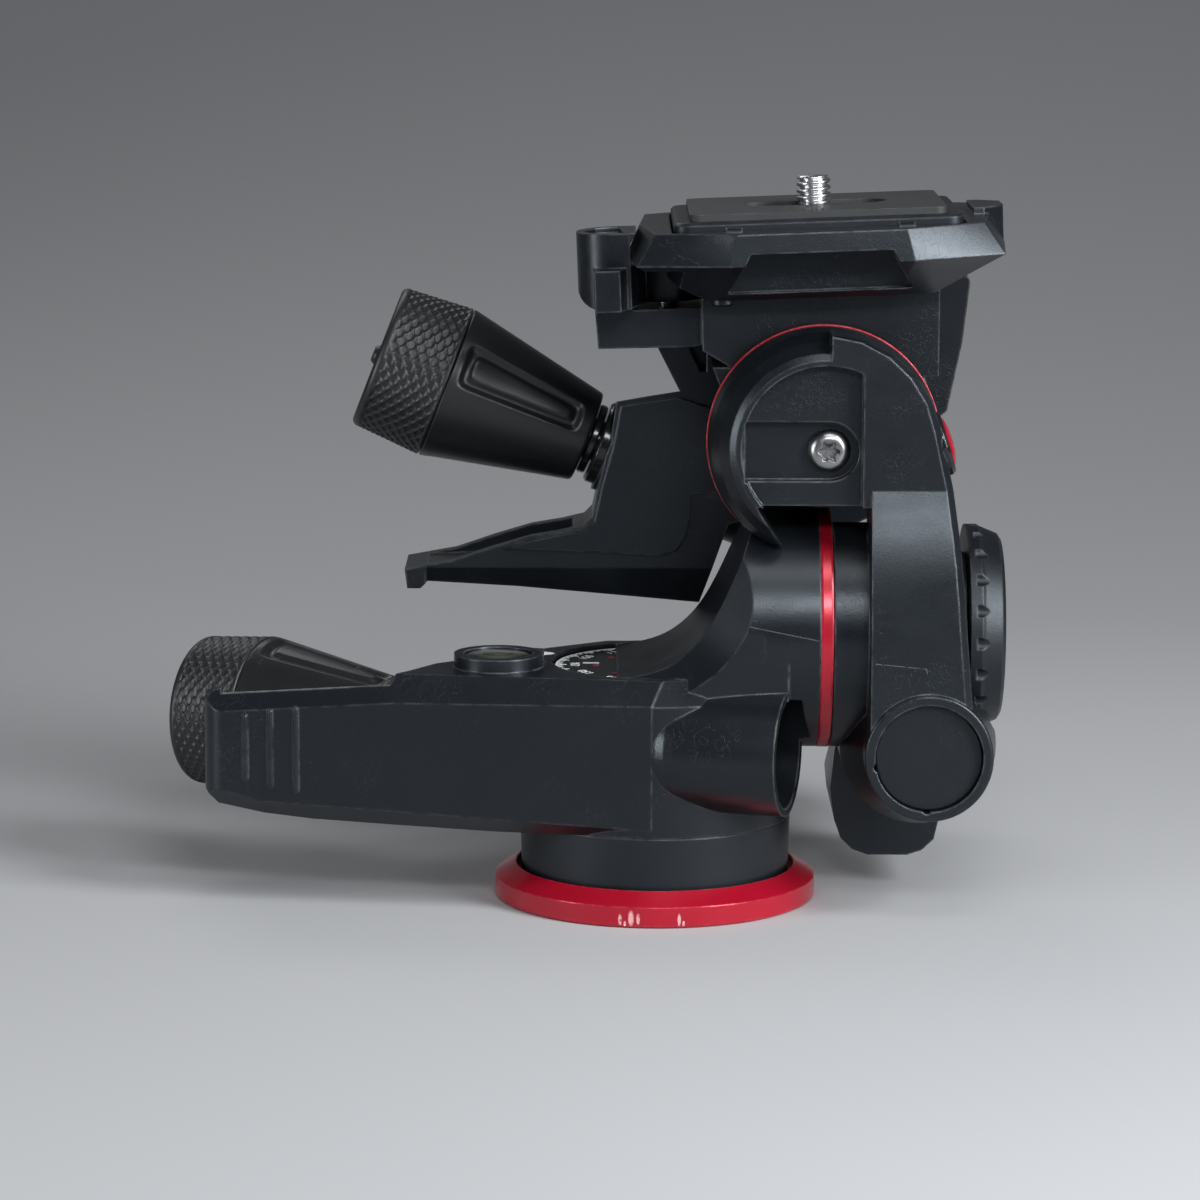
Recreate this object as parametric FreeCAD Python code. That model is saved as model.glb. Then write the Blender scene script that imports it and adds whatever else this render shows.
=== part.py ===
import FreeCAD, Part
import math
import os

V = FreeCAD.Vector

# ---------------------------------------------------------------- driving dimensions (mm)
# Base and pan axis (the pan axis is the Z axis, the base stands on z = 0)
BASE_R = 30.0
BAND_H = 4.1
BEVEL_W = 4.0
BEVEL_R = BASE_R - BEVEL_W
BEVEL_Z = 6.2
RING_W = 6.5
CORE_R = BASE_R - RING_W
THREAD_R = 4.7625
INSERT_R = 6.5
INSERT_TOP = 10.4
SKIRT_GAP = 1.0
SKIRT_R0 = BEVEL_R - SKIRT_GAP
SKIRT_R1 = SKIRT_R0 + 0.3
SKIRT_Z0 = 4.6
SKIRT_T = 3.5
FLOOR_Z = 15.6
DECK_Z = 44.3
HUB_R = SKIRT_R1
HUB_FLAT = 20.9
DIAL_R = 19.1
DIAL_Z = 43.4
SPINDLE_X0 = DIAL_R + 1.0
SHAFT_R = 9.0
PAN_DRUM_R = 13.0

# Lateral tilt axis (along X) and the hub the two castings share
LAT_Z = 51.0
LAT_R = 22.5
LAT_FACE = 29.8
RING_T = 2.3
LAT_DRUM_R = 10.5
ARM_BACK_R = 14.0
ARM_OUT = 57.0

# Fore and aft tilt axis (along Y)
TILT_X = 30.4
TILT_Z = 86.8
ROLL = 2.3
DISC_R = 21.3
DISC_Y0 = -22.0
DISC_Y1 = -8.5
TILT_Y0 = -5.6
HOUSE_Y0 = 25.8
HOUSE_Y1 = 43.6
TILT_DRUM_R = 14.0

# Locking handles
ROD_R = 4.0
WASHER_R = 8.1
WASHER_T = 2.2
FLANGE_R = 6.9
SLEEVE_U = 4.3
SLEEVE_L = 29.0
GRIP_L = 14.3
NECK_R = 8.9
GRIP_R = 15.0
GRIP_END_R = 14.1
SPIGOT_R = 10.0
KNOB_R = 19.1

# Quick release plate and clamp (in the clamp's own frame, z measured from the tilt axis)
PLATE_L = 52.5
PLATE_W = 42.0
PLATE_Z0 = 36.8
PLATE_Z1 = 41.6
PAD_Z1 = 42.9
CLAMP_Y = 3.0
CLAMP_Z0 = 26.9
SCREW_R = 3.175

# Fits
RUN = 0.06
GAP = 0.3


# ---------------------------------------------------------------- small shape helpers
def rod(r, a, b):
    """Cylinder of radius r between the points a and b."""
    d = b.sub(a)
    return Part.makeCylinder(r, d.Length, a, d)


def taper(r0, r1, a, b):
    """Cone frustum from radius r0 at a to r1 at b."""
    d = b.sub(a)
    return Part.makeCone(r0, r1, d.Length, a, d)


def tube(r_out, r_in, a, b):
    return rod(r_out, a, b).cut(rod(r_in, a, b))


def prism(points, vec):
    """Closed polygon pushed along vec."""
    wire = Part.makePolygon(points + [points[0]])
    return Part.Face(wire).extrude(vec)


def prism_xz(pts, y0, y1):
    return prism([V(x, y0, z) for x, z in pts], V(0, y1 - y0, 0))


def prism_xy(pts, z0, z1):
    return prism([V(x, y, z0) for x, y in pts], V(0, 0, z1 - z0))


def prism_yz(pts, x0, x1):
    return prism([V(x0, y, z) for y, z in pts], V(x1 - x0, 0, 0))


def box(x0, x1, y0, y1, z0, z1):
    return Part.makeBox(x1 - x0, y1 - y0, z1 - z0, V(x0, y0, z0))


def lathe(profile, origin, axis):
    """Profile of (radius, height) pairs turned about the axis through origin."""
    w = V(axis).normalize()
    side = V(0, 0, 1) if abs(w.z) < 0.9 else V(1, 0, 0)
    u = w.cross(side).normalize()
    pts = [origin.add(V(u).multiply(r)).add(V(w).multiply(h)) for r, h in profile]
    face = Part.Face(Part.makePolygon(pts + [pts[0]]))
    return face.revolve(origin, w, 360)


def fuse(shapes):
    out = shapes[0]
    for s in shapes[1:]:
        out = out.fuse(s)
    return out.removeSplitter()


def round_edges(shape, r, pick):
    """Fillet the edges for which pick(edge) is true."""
    edges = [e for e in shape.Edges if pick(e)]
    return shape.makeFillet(r, edges)


def bevel_edges(shape, c, pick):
    edges = [e for e in shape.Edges if pick(e)]
    return shape.makeChamfer(c, edges)


def swept(curve, corners):
    """Closed outline: one smooth curve through the first points, then straight through the corners."""
    c = Part.BSplineCurve()
    c.interpolate(curve)
    rest = [curve[-1]] + corners + [curve[0]]
    return Part.Wire([c.toShape()] + [Part.makeLine(a, b) for a, b in zip(rest, rest[1:])])


def at_y(y, points):
    return [V(x, y, z) for x, z in points]


def at_x(x, points):
    return [V(x, y, z) for y, z in points]


def corner_wedges(edge, c):
    """Wedges that bevel by c a corner facing +X and -Y along a chain of rising points."""
    out = []
    for (x, y, z), (x1, y1, z1) in zip(edge, edge[1:]):
        tri = [V(x - c - 2, y - 2, z), V(x + 2, y - 2, z), V(x + 2, y + c + 2, z)]
        out.append(prism(tri, V(x1 - x, y1 - y, z1 - z)))
    return out


def save(name, shape):
    if shape.ShapeType == "Compound" and len(shape.Solids) == 1:
        shape = shape.Solids[0]
    shape.exportStep("parts/%s.step" % name)
    print(name, len(shape.Solids), shape.isValid(), round(shape.Volume, 1))


# ---------------------------------------------------------------- locking handle
class Axis:
    """A locking handle's axis: u runs outward from the seat on the casting."""

    def __init__(self, seat, direction):
        self.seat = seat
        self.d = V(direction).normalize()

    def at(self, u):
        return self.seat.add(V(self.d).multiply(u))


def handle_washer(ax):
    body = lathe([(ROD_R + RUN, 0), (WASHER_R, 0), (WASHER_R, WASHER_T - 0.5), (WASHER_R - 0.5, WASHER_T),
                  (ROD_R + RUN, WASHER_T)], ax.seat, ax.d)
    return body


def handle_bolt(ax, inner):
    """Rod with a flange; it reaches inner mm into the casting and carries the sleeve outside."""
    u0 = WASHER_T + 0.3
    u1 = SLEEVE_U - GAP
    profile = [(0, -inner), (ROD_R - 0.4, -inner), (ROD_R, -inner + 0.4), (ROD_R, u0), (FLANGE_R - 0.3, u0),
               (FLANGE_R, u0 + 0.3), (FLANGE_R, u1 - 0.3), (FLANGE_R - 0.3, u1), (ROD_R, u1),
               (ROD_R, 44.6), (ROD_R - 0.4, 45.0), (0, 45.0)]
    return lathe(profile, ax.seat, ax.d)


def panel_cutters(ax, lift):
    """Three trapezoid prisms around the sleeve, shrunk by lift at every edge."""
    side = V(0, 0, 1) if abs(ax.d.z) < 0.8 else V(0, 1, 0)
    w0 = ax.d.cross(side).normalize()
    out = []
    for k in range(3):
        turn = FreeCAD.Rotation(ax.d, 30 + 120 * k)
        w = turn.multVec(w0)
        n = ax.d.cross(w)
        pts = []
        for u, s in [(9.5 + lift, -3.0 + lift), (9.5 + lift, 3.0 - lift), (28.0 - lift, 6.4 - lift),
                     (28.0 - lift, -6.4 + lift)]:
            pts.append(ax.at(u).add(V(w).multiply(s)).add(V(n).multiply(5.0)))
        p = prism(pts, V(n).multiply(14.0))
        out.append(round_edges(p, 1.6 - 0.4 * lift, lambda e: abs(e.Length - 14.0) < 1e-6))
    return out


def handle_sleeve(ax):
    """Cone with three sunk panels, each with a raised pad, and a spigot for the grip."""
    u0 = SLEEVE_U
    u1 = SLEEVE_U + SLEEVE_L
    cone = taper(NECK_R, GRIP_R, ax.at(u0), ax.at(u1))
    sunk = taper(NECK_R - 0.9, GRIP_R - 0.9, ax.at(u0), ax.at(u1))
    pad = taper(NECK_R - 0.35, GRIP_R - 0.35, ax.at(u0), ax.at(u1))
    for c in panel_cutters(ax, 0.0):
        cone = cone.cut(c.cut(sunk))
    for c in panel_cutters(ax, 1.3):
        cone = cone.fuse(c.common(pad).cut(rod(ROD_R + 2.5, ax.at(u0), ax.at(u1))))
    spigot = rod(SPIGOT_R, ax.at(u1), ax.at(u1 + 9.5))
    body = cone.fuse(spigot).cut(rod(ROD_R + RUN, ax.at(u0 - 1), ax.at(u1 + 12)))
    return body.removeSplitter()


def handle_grip(ax):
    """Knurled cap on the sleeve's spigot, with a rounded rim and a small centre nub."""
    u0 = SLEEVE_U + SLEEVE_L + 0.15
    u1 = SLEEVE_U + SLEEVE_L + GRIP_L
    rim = 1.3
    arc = []
    for a in (90, 70, 50, 30, 10, 0):
        t = math.radians(a)
        arc.append((GRIP_END_R - rim + rim * math.sin(t), u1 - rim + rim * math.cos(t)))
    profile = [(SPIGOT_R + RUN, u0), (GRIP_R - 0.3, u0), (GRIP_R, u0 + 0.4)] + arc
    profile += [(2.0, u1), (1.6, u1 + 0.9), (0, u1 + 0.9), (0, u1 - 1.2), (ROD_R + GAP, u1 - 1.2),
                (ROD_R + GAP, u0 + 9.8), (SPIGOT_R + RUN, u0 + 9.8)]
    return lathe(profile, ax.seat, ax.d)


def handle_nest(ax, extra):
    """Room the retracted handle takes up, grown by extra all round."""
    u1 = SLEEVE_U + SLEEVE_L
    neck = taper(WASHER_R + extra, NECK_R + extra, ax.at(0), ax.at(SLEEVE_U))
    cone = taper(NECK_R + extra, GRIP_R + extra, ax.at(SLEEVE_U), ax.at(u1))
    end = rod(GRIP_R + extra, ax.at(u1), ax.at(u1 + GRIP_L + 30))
    return fuse([neck, cone, end])


def cotter(ax, u0, u1, drum):
    """Half-cut clamping collar on the bolt, hollowed to the drum it presses on."""
    return tube(6.0, ROD_R + RUN, ax.at(u0), ax.at(u1)).cut(drum)


def bolt_bore(ax, inner, u0, u1):
    """Clearance hole for the bolt with the wider pocket of its cotter."""
    return rod(ROD_R + GAP, ax.at(1), ax.at(-inner - 0.5)).fuse(rod(6.0, ax.at(u0), ax.at(u1)))


PAN_YAW = math.radians(25)
PAN_AX = Axis(V(-43.1, -0.1, 30.8), V(-math.cos(PAN_YAW), math.sin(PAN_YAW), 0))
PAN_IN = 47.0
PAN_COTTER = (-45.0, -33.5)
LAT_AX = Axis(V(46.0, 17.0, 31.0), V(0, 1, 0))
LAT_IN = 28.0
LAT_COTTER = (-23.0, -11.0)
TILT_AX = Axis(V(-9.1, (HOUSE_Y0 + HOUSE_Y1) / 2, 80.1), V(-0.932, 0, 0.363))
TILT_IN = 44.0
TILT_COTTER = (-40.0, -28.0)


# ---------------------------------------------------------------- base
def make_base():
    ring = lathe([(CORE_R, 0), (BASE_R - 0.4, 0), (BASE_R, 0.4), (BASE_R, BAND_H - 0.2),
                  (BASE_R - 0.25, BAND_H), (BEVEL_R + 0.2, BEVEL_Z), (BEVEL_R, BEVEL_Z - 0.15),
                  (BEVEL_R, 3.6), (CORE_R, 3.6)], V(0, 0, 0), V(0, 0, 1))
    save("base_ring", ring)
    core = lathe([(INSERT_R, 0), (CORE_R, 0), (CORE_R, 3.6), (12.0, 3.6), (12.0, 9.0), (INSERT_R, 9.0)],
                 V(0, 0, 0), V(0, 0, 1))
    for k in range(3):
        a = math.radians(90 + 120 * k)
        core = core.cut(rod(2.2, V(17.5 * math.cos(a), 17.5 * math.sin(a), -1),
                            V(17.5 * math.cos(a), 17.5 * math.sin(a), 2.2)))
    save("base_core", core)
    insert = lathe([(THREAD_R, 0), (INSERT_R, 0), (INSERT_R, 9.0), (8.0, 9.0), (8.0, INSERT_TOP),
                    (THREAD_R, INSERT_TOP)], V(0, 0, 0), V(0, 0, 1))
    save("thread_insert", insert)
    spindle = lathe([(0, INSERT_TOP), (SHAFT_R, INSERT_TOP), (SHAFT_R, 22.5), (PAN_DRUM_R, 22.5),
                     (PAN_DRUM_R, 39.0), (8.0, 39.0), (8.0, DIAL_Z - 0.8), (0, DIAL_Z - 0.8)],
                    V(0, 0, 0), V(0, 0, 1))
    save("pan_spindle", spindle)
    dial = lathe([(0, DIAL_Z - 0.8), (DIAL_R, DIAL_Z - 0.8), (DIAL_R, DIAL_Z - 0.15),
                  (DIAL_R - 0.15, DIAL_Z), (0, DIAL_Z)], V(0, 0, 0), V(0, 0, 1))
    save("pan_dial", dial)
    save("pan_friction_washer", tube(CORE_R - 1.0, 14.0, V(0, 0, 3.6), V(0, 0, 4.3)))


# ---------------------------------------------------------------- pan body
NEAR_N = V(-0.1245, -0.9922, 0)


def near_face(x):
    """Y of the arm's near side at a given X; it is tangent to the hub."""
    return (HUB_R - NEAR_N.x * x) / NEAR_N.y


def side_wedge(x0, z0, x1, z1, up):
    """Wedge that bevels the arm's near side above (up = 1) or below (up = -1) the crease line."""
    a = V(x0, near_face(x0) - 0.01, z0)
    run = V(x1 - x0, near_face(x1) - near_face(x0), z1 - z0)
    return prism([a, a.add(V(0, 0, 14 * up)), a.add(V(0, 14, 14 * up))], run)


def arm_block():
    """Arm: side outline pushed through the plan outline, with a bevel above and below its near side."""
    side = prism_xz([(-83.4, 22.4), (-80.9, 19.4), (-72.4, 17.9), (-63.3, 16.9), (-49.4, 16.3),
                     (-30.0, FLOOR_Z), (6.0, FLOOR_Z), (6.0, DECK_Z), (-61.0, DECK_Z), (-68.0, 43.5),
                     (-78.1, 41.5), (-82.0, 40.4), (-83.4, 38.6)], -40, 40)
    plan = prism_xy([(-83.4, near_face(-83.4)), (-1.0, near_face(-1.0)), (6.0, -12.0), (6.0, 20.5),
                     (-9.0, 20.5), (-20.0, 12.7), (-40.8, -4.1), (-44.0, 0.0), (-83.4, 0.0)], 10, 50)
    plan = round_edges(plan, 4.5, lambda e: abs(e.Length - 40) < 1e-6 and e.CenterOfMass.x < -83.3
                       and e.CenterOfMass.y < -5)
    block = side.common(plan)
    for wedge in (side_wedge(-95.0, 36.0, 6.0, 43.8, 1), side_wedge(-95.0, 39.0, 6.0, 40.3, 1),
                  side_wedge(-95.0, 25.9, 6.0, 1.9, -1), side_wedge(-95.0, 21.6, 6.0, 16.8, -1)):
        block = block.cut(wedge)
    return block


def arm_trough():
    """Open space the retracted handle lies in: behind the near wall, above a floor that follows the keel."""
    t = 3.0
    plan = prism_xy([(-80.2, near_face(-80.2) + t), (-49.0, near_face(-49.0) + t), (-45.5, -11.6),
                     (-40.8, -4.1), (-40.8, 30.0), (-80.2, 30.0)], 0, 80)
    side = prism_xz([(-80.2, 23.0), (-72.4, 20.8), (-63.3, 19.8), (-40.0, 19.0), (-40.0, 60.0),
                     (-80.2, 60.0)], -40, 40)
    mouth = prism_xy([(-90.0, near_face(-90.0) + 6.5), (-80.0, near_face(-80.0) + 6.5), (-80.0, 30.0),
                      (-90.0, 30.0)], 31.0, 60.0)
    return plan.common(side).fuse(mouth)


UP_NEAR = [(-7.4, DECK_Z - 0.4), (-1.1, 44.9), (2.0, 46.1), (5.0, 48.1), (8.0, 51.2), (11.2, 56.4),
           (14.0, 62.4), (16.0, 67.5), (18.3, 73.0)]
UP_CREASE = [(-6.0, 40.0), (-1.3, 40.2), (5.0, 42.0), (9.0, 44.4), (12.6, 47.6), (16.4, 53.6), (18.6, 58.6),
             (20.2, 63.4), (21.5, 69.2)]


def upright():
    """Post that carries the lateral hub: swept side outline with its near edge bevelled to a crease."""
    foot = [(27.0, 73.6), (27.0, 30.0), (-6.0, 30.0)]
    near = swept(at_y(-16.5, UP_NEAR), at_y(-16.5, foot))
    crease = swept(at_y(-22.4, UP_CREASE), at_y(-22.4, foot))
    post = Part.Face(near).extrude(V(0, 36.0, 0))
    bevel = Part.makeLoft([near, crease], True, False)
    post = post.fuse(bevel)
    bound = rod(LAT_R, V(-20, 0, LAT_Z), V(LAT_FACE, 0, LAT_Z)).fuse(box(-20, 24.0, -22.3, 19.5, 20, LAT_Z))
    return post.common(bound)


def make_pan_housing():
    hub = Part.makeCylinder(HUB_R, DECK_Z - FLOOR_Z, V(0, 0, FLOOR_Z))
    hub = bevel_edges(hub, 4.2, lambda e: abs(e.CenterOfMass.z - DECK_Z) < 0.01 and e.Closed)
    drum = rod(LAT_R, V(19.5, 0, LAT_Z), V(LAT_FACE, 0, LAT_Z))
    yaw = math.radians(15.2)
    out = V(math.cos(yaw), -math.sin(yaw), 0)
    end = V(24.0, -21.3, 30.8)
    barrel = rod(11.5, end.sub(V(out).multiply(19.0)), end)
    nose = []
    for a in range(0, 100, 10):
        t = math.radians(a)
        nose.append((11.5 * math.sin(t), -10.0 * math.cos(t)))
    root = lathe(nose + [(11.5, 2.0), (0, 2.0)], end.sub(V(out).multiply(19.0)), out)
    boss = rod(9.6, PAN_AX.at(0), PAN_AX.at(-16))
    cup = rod(8.2, V(-29.3, -6.7, DECK_Z - 2), V(-29.3, -6.7, 46.8))
    block = arm_block().cut(arm_trough())
    # recess of the dial, left under the post as a thin gap
    deck = fuse([block, cup, hub])
    deck = deck.cut(rod(DIAL_R + 0.4, V(0, 0, DIAL_Z - 1.2), V(0, 0, DECK_Z + 0.6)))
    post = fuse([upright(), drum, barrel, root])
    post = post.cut(rod(DIAL_R + 0.4, V(0, 0, DIAL_Z - 1.2), V(0, 0, DIAL_Z + GAP)))
    body = fuse([deck, post, boss])
    body = body.cut(handle_nest(PAN_AX, 1.0))
    # flat at the back of the hub that lets the tilt housing lean past it
    body = body.cut(box(-25.0, 19.4, HUB_FLAT, HUB_R + 1, 22.0, DECK_Z + 1))
    # bores on the pan axis
    body = body.cut(rod(11.0, V(0, 0, 10), V(0, 0, 20.5)))
    body = body.cut(rod(PAN_DRUM_R + GAP, V(0, 0, 20.5), V(0, 0, 39.8)))
    body = body.cut(rod(SHAFT_R, V(0, 0, 39), V(0, 0, 43)))
    body = body.cut(bolt_bore(PAN_AX, PAN_IN, *PAN_COTTER))
    # lateral axis: seat of the fixed spindle
    body = body.cut(rod(LAT_DRUM_R, V(SPINDLE_X0, 0, LAT_Z), V(LAT_FACE + 1, 0, LAT_Z)))
    # open end of the barrel
    body = body.cut(rod(10.0, end.sub(V(out).multiply(9.0)), end.add(V(out).multiply(2.0))))
    body = body.cut(rod(6.4, V(-29.3, -6.7, 43.0), V(-29.3, -6.7, 50)))
    for x, z0, z1 in ((-75.6, 25.0, 36.4), (-71.0, 23.8, 37.4), (-66.2, 23.0, 38.0)):
        y = near_face(x)
        rib = rod(0.5, V(x, y, z0), V(x, y, z1))
        rib = fuse([rib, Part.makeSphere(0.5, V(x, y, z0)), Part.makeSphere(0.5, V(x, y, z1))])
        body = body.fuse(rib)
    return body.removeSplitter()


def make_pan():
    save("pan_housing", make_pan_housing())
    inner = SKIRT_R0 - SKIRT_T
    save("pan_skirt", lathe([(inner, SKIRT_Z0), (SKIRT_R0, SKIRT_Z0), (SKIRT_R1, FLOOR_Z), (inner, FLOOR_Z)],
                            V(0, 0, 0), V(0, 0, 1)))
    save("pan_bushing", tube(11.0, SHAFT_R + RUN, V(0, 0, 12.0), V(0, 0, 20.5)))
    drum = rod(PAN_DRUM_R + GAP, V(0, 0, 10), V(0, 0, 45))
    save("pan_cotter", cotter(PAN_AX, PAN_COTTER[0], PAN_COTTER[1], drum))
    save("pan_seat_washer", handle_washer(PAN_AX))
    index = prism_xy([(-21.0, -2.0), (-18.9, -0.6), (-18.9, 0.6), (-21.0, 2.0)], DECK_Z, DECK_Z + 1.2)
    block = prism_xy([(-25.0, -3.0), (-21.0, -2.0), (-21.0, 2.0), (-25.0, 3.0)], DECK_Z, DECK_Z + 1.8)
    c = V(-29.3, -6.7, 0)
    cup = rod(8.3, V(c.x, c.y, DECK_Z - 1), V(c.x, c.y, 50))
    save("pan_index", index.fuse(block).cut(cup).removeSplitter())
    vial = lathe([(0, 43.0), (6.4, 43.0), (6.4, 46.2), (5.6, 46.5), (0, 46.9)], c, V(0, 0, 1))
    save("pan_bubble", vial)
    save("lateral_ring", lathe([(15.0, LAT_FACE), (LAT_R, LAT_FACE), (LAT_R + 0.1, LAT_FACE + 0.4),
                                (LAT_R + 0.1, LAT_FACE + RING_T - 0.4), (LAT_R, LAT_FACE + RING_T),
                                (15.0, LAT_FACE + RING_T)], V(0, 0, LAT_Z), V(1, 0, 0)))
    spindle = lathe([(0, SPINDLE_X0), (LAT_DRUM_R, SPINDLE_X0), (LAT_DRUM_R, 30.6), (SHAFT_R, 30.6),
                     (SHAFT_R, 41.0), (LAT_DRUM_R - 0.4, 41.0), (LAT_DRUM_R - 0.4, 52.0), (5.0, 52.0),
                     (5.0, 61.0), (0, 61.0)],
                    V(0, 0, LAT_Z), V(1, 0, 0))
    save("lateral_spindle", spindle)


# ---------------------------------------------------------------- lateral body (the C-shaped arm)
def drum_room():
    """Room the fixed half of the lateral hub needs beside the arm."""
    return rod(LAT_R + 0.6, V(0, 0, LAT_Z), V(LAT_FACE + RING_T + 0.15, 0, LAT_Z))


def disc_foot():
    """Lower part of the disc that is left out above the drum, between the strap and a curved edge."""
    return prism_xz([(17.9, 76.4), (38.6, 76.4), (38.6, 55.0), (26.0, 55.0), (22.5, 69.0), (18.6, 75.0)],
                    -40, 0)


def make_c_arm():
    face = LAT_FACE + RING_T + 0.15
    hub = rod(LAT_R, V(face, 0, LAT_Z), V(40.0, 0, LAT_Z))
    hub = round_edges(hub, 1.0, lambda e: e.Closed and abs(e.CenterOfMass.x - 40.0) < 0.01)
    back = rod(ARM_BACK_R, V(38.0, 0, LAT_Z), V(ARM_OUT, 0, LAT_Z))
    # strap seen from the front, then trimmed by its side outline, which swells below the disc
    bow = [(57.6, -28.6, 31.0), (ARM_OUT, -28.6, 42.0), (56.5, -28.5, 48.0), (56.0, -28.1, 54.0),
           (55.6, -27.4, 60.0), (55.1, -26.3, 66.1), (54.5, -24.9, 71.6), (53.9, -23.3, 76.2),
           (53.5, DISC_Y0, 79.5)]
    # above, the strap follows the disc's rim up to the parting line at its top
    rim = DISC_R - 0.3
    turn = [math.radians(a) for a in (9, 24, 39, 54, 70, 88)]
    edge = bow + [(TILT_X + rim * math.cos(a), DISC_Y0, TILT_Z + rim * math.sin(a)) for a in turn]
    strap = prism_xz([(38.6, 31.0), (38.6, TILT_Z + 4.0), (edge[-1][0], TILT_Z + 4.0)]
                     + [(x, z) for x, y, z in reversed(edge)], -40, 40)
    back_line = [(DISC_Y0, 112.0), (DISC_Y1, 112.0), (DISC_Y1, 66.5), (-4.0, 62.5), (16.0, 58.0),
                 (17.0, 54.0), (17.0, 31.0)]
    side = swept(at_x(30.0, [(y, z) for x, y, z in bow]), at_x(30.0, back_line))
    strap = strap.common(Part.Face(side).extrude(V(40.0, 0, 0)))
    for wedge in corner_wedges(edge, 1.3):
        strap = strap.cut(wedge)
    y0 = DISC_Y0
    disc = lathe([(0, y0), (16.4, y0), (17.6, y0 + 0.8), (19.4, y0 + 4.0), (20.7, y0 + 8.0),
                  (DISC_R, y0 + 11.5), (DISC_R, DISC_Y1), (0, DISC_Y1)], V(TILT_X, 0, TILT_Z), V(0, 1, 0))
    disc = disc.cut(drum_room()).cut(disc_foot())
    # lower body: flared tube at the front, barrel and shelf at the back
    front = rod(11.7, BOSS, BOSS.add(V(0, 15.0, 0)))
    front = round_edges(front, 0.6, lambda e: e.Closed and abs(e.CenterOfMass.y - BOSS.y) < 0.01)
    flare = taper(11.7, 14.6, BOSS.add(V(0, 7.4, 0)), V(48.6, -8.0, 30.0))
    barrel = rod(13.6, V(48.0, -9.0, 29.6), V(47.2, 17.0, 30.5))
    shelf = prism_xz([(33.9, 26.0), (33.2, 18.6), (34.0, 12.6), (35.2, 9.2), (37.4, 7.0), (40.4, 5.9),
                      (47.8, 5.9), (50.6, 6.8), (52.9, 9.0), (54.0, 14.0), (54.0, 28.0), (36.0, 34.0)],
                     6.0, 38.0)
    cheek = prism_yz([(6.0, 4.0), (38.0, 9.0), (38.0, 13.0), (17.0, 28.0), (17.0, 40.0), (6.0, 40.0)],
                     30, 60)
    shelf = shelf.common(cheek)
    body = fuse([hub, back, strap, disc, front, flare, barrel, shelf])
    body = body.cut(handle_nest(LAT_AX, 1.0))
    body = body.cut(rod(DISC_R + 0.5, V(TILT_X, DISC_Y1, TILT_Z), V(TILT_X, 45, TILT_Z)))
    # front recess of the disc with its slot
    rec = rod(15.4, V(TILT_X, -30, TILT_Z), V(TILT_X, DISC_Y0 + 2.6, TILT_Z))
    rec = rec.common(box(TILT_X - 20, 37.0, -40, 0, 70, 110))
    body = body.cut(rec)
    slot = box(15.6, 31.0, -30, DISC_Y0 + 5.0, 80.9, 91.7)
    slot = slot.fuse(rod(5.4, V(31.0, -30, 86.3), V(31.0, DISC_Y0 + 5.0, 86.3)))
    body = body.cut(slot)
    # bores: lateral spindle, lock bolt, tilt spindle, cap recess
    body = body.cut(rod(SHAFT_R + 1.6, V(30, 0, LAT_Z), V(41.0, 0, LAT_Z)))
    body = body.cut(rod(LAT_DRUM_R, V(40.6, 0, LAT_Z), V(52.4, 0, LAT_Z)))
    body = body.cut(rod(5.0 + GAP, V(50.0, 0, LAT_Z), V(60.0, 0, LAT_Z)))
    body = body.cut(bolt_bore(LAT_AX, LAT_IN, *LAT_COTTER))
    body = body.cut(rod(KNOB_R + 0.5, V(ARM_OUT, 0, LAT_Z), V(75.0, 0, LAT_Z)))
    body = body.cut(rod(SHAFT_R, V(TILT_X, -12.0, TILT_Z), V(TILT_X, 0, TILT_Z)))
    body = body.cut(rod(2.6, V(31.0, -30, 86.3), V(31.0, -10, 86.3)))
    body = body.cut(rod(CAP_R, BOSS.sub(V(0, 1, 0)), BOSS.add(V(0, CAP_Y1, 0))))
    for a in (190, 268):
        notch = BOSS.add(V(9.3 * math.cos(math.radians(a)), 0, 9.3 * math.sin(math.radians(a))))
        body = body.cut(rod(0.9, notch.sub(V(0, 1, 0)), notch.add(V(0, CAP_Y1 + 1.2, 0))))
    # seat of the badge
    c, n = BADGE
    body = body.cut(rod(6.0, c.sub(V(n).multiply(2.0)), c.add(V(n).multiply(8.0))))
    return body.removeSplitter()


BADGE = (V(50.6, -15.0, 87.0), V(0.958, 0, 0.287))
# middle of the lower boss's front face; the cap in it lies between these depths
BOSS = V(49.3, -29.4, 31.6)
CAP_R = 9.8
CAP_Y0 = 1.5
CAP_Y1 = 3.4


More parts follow.
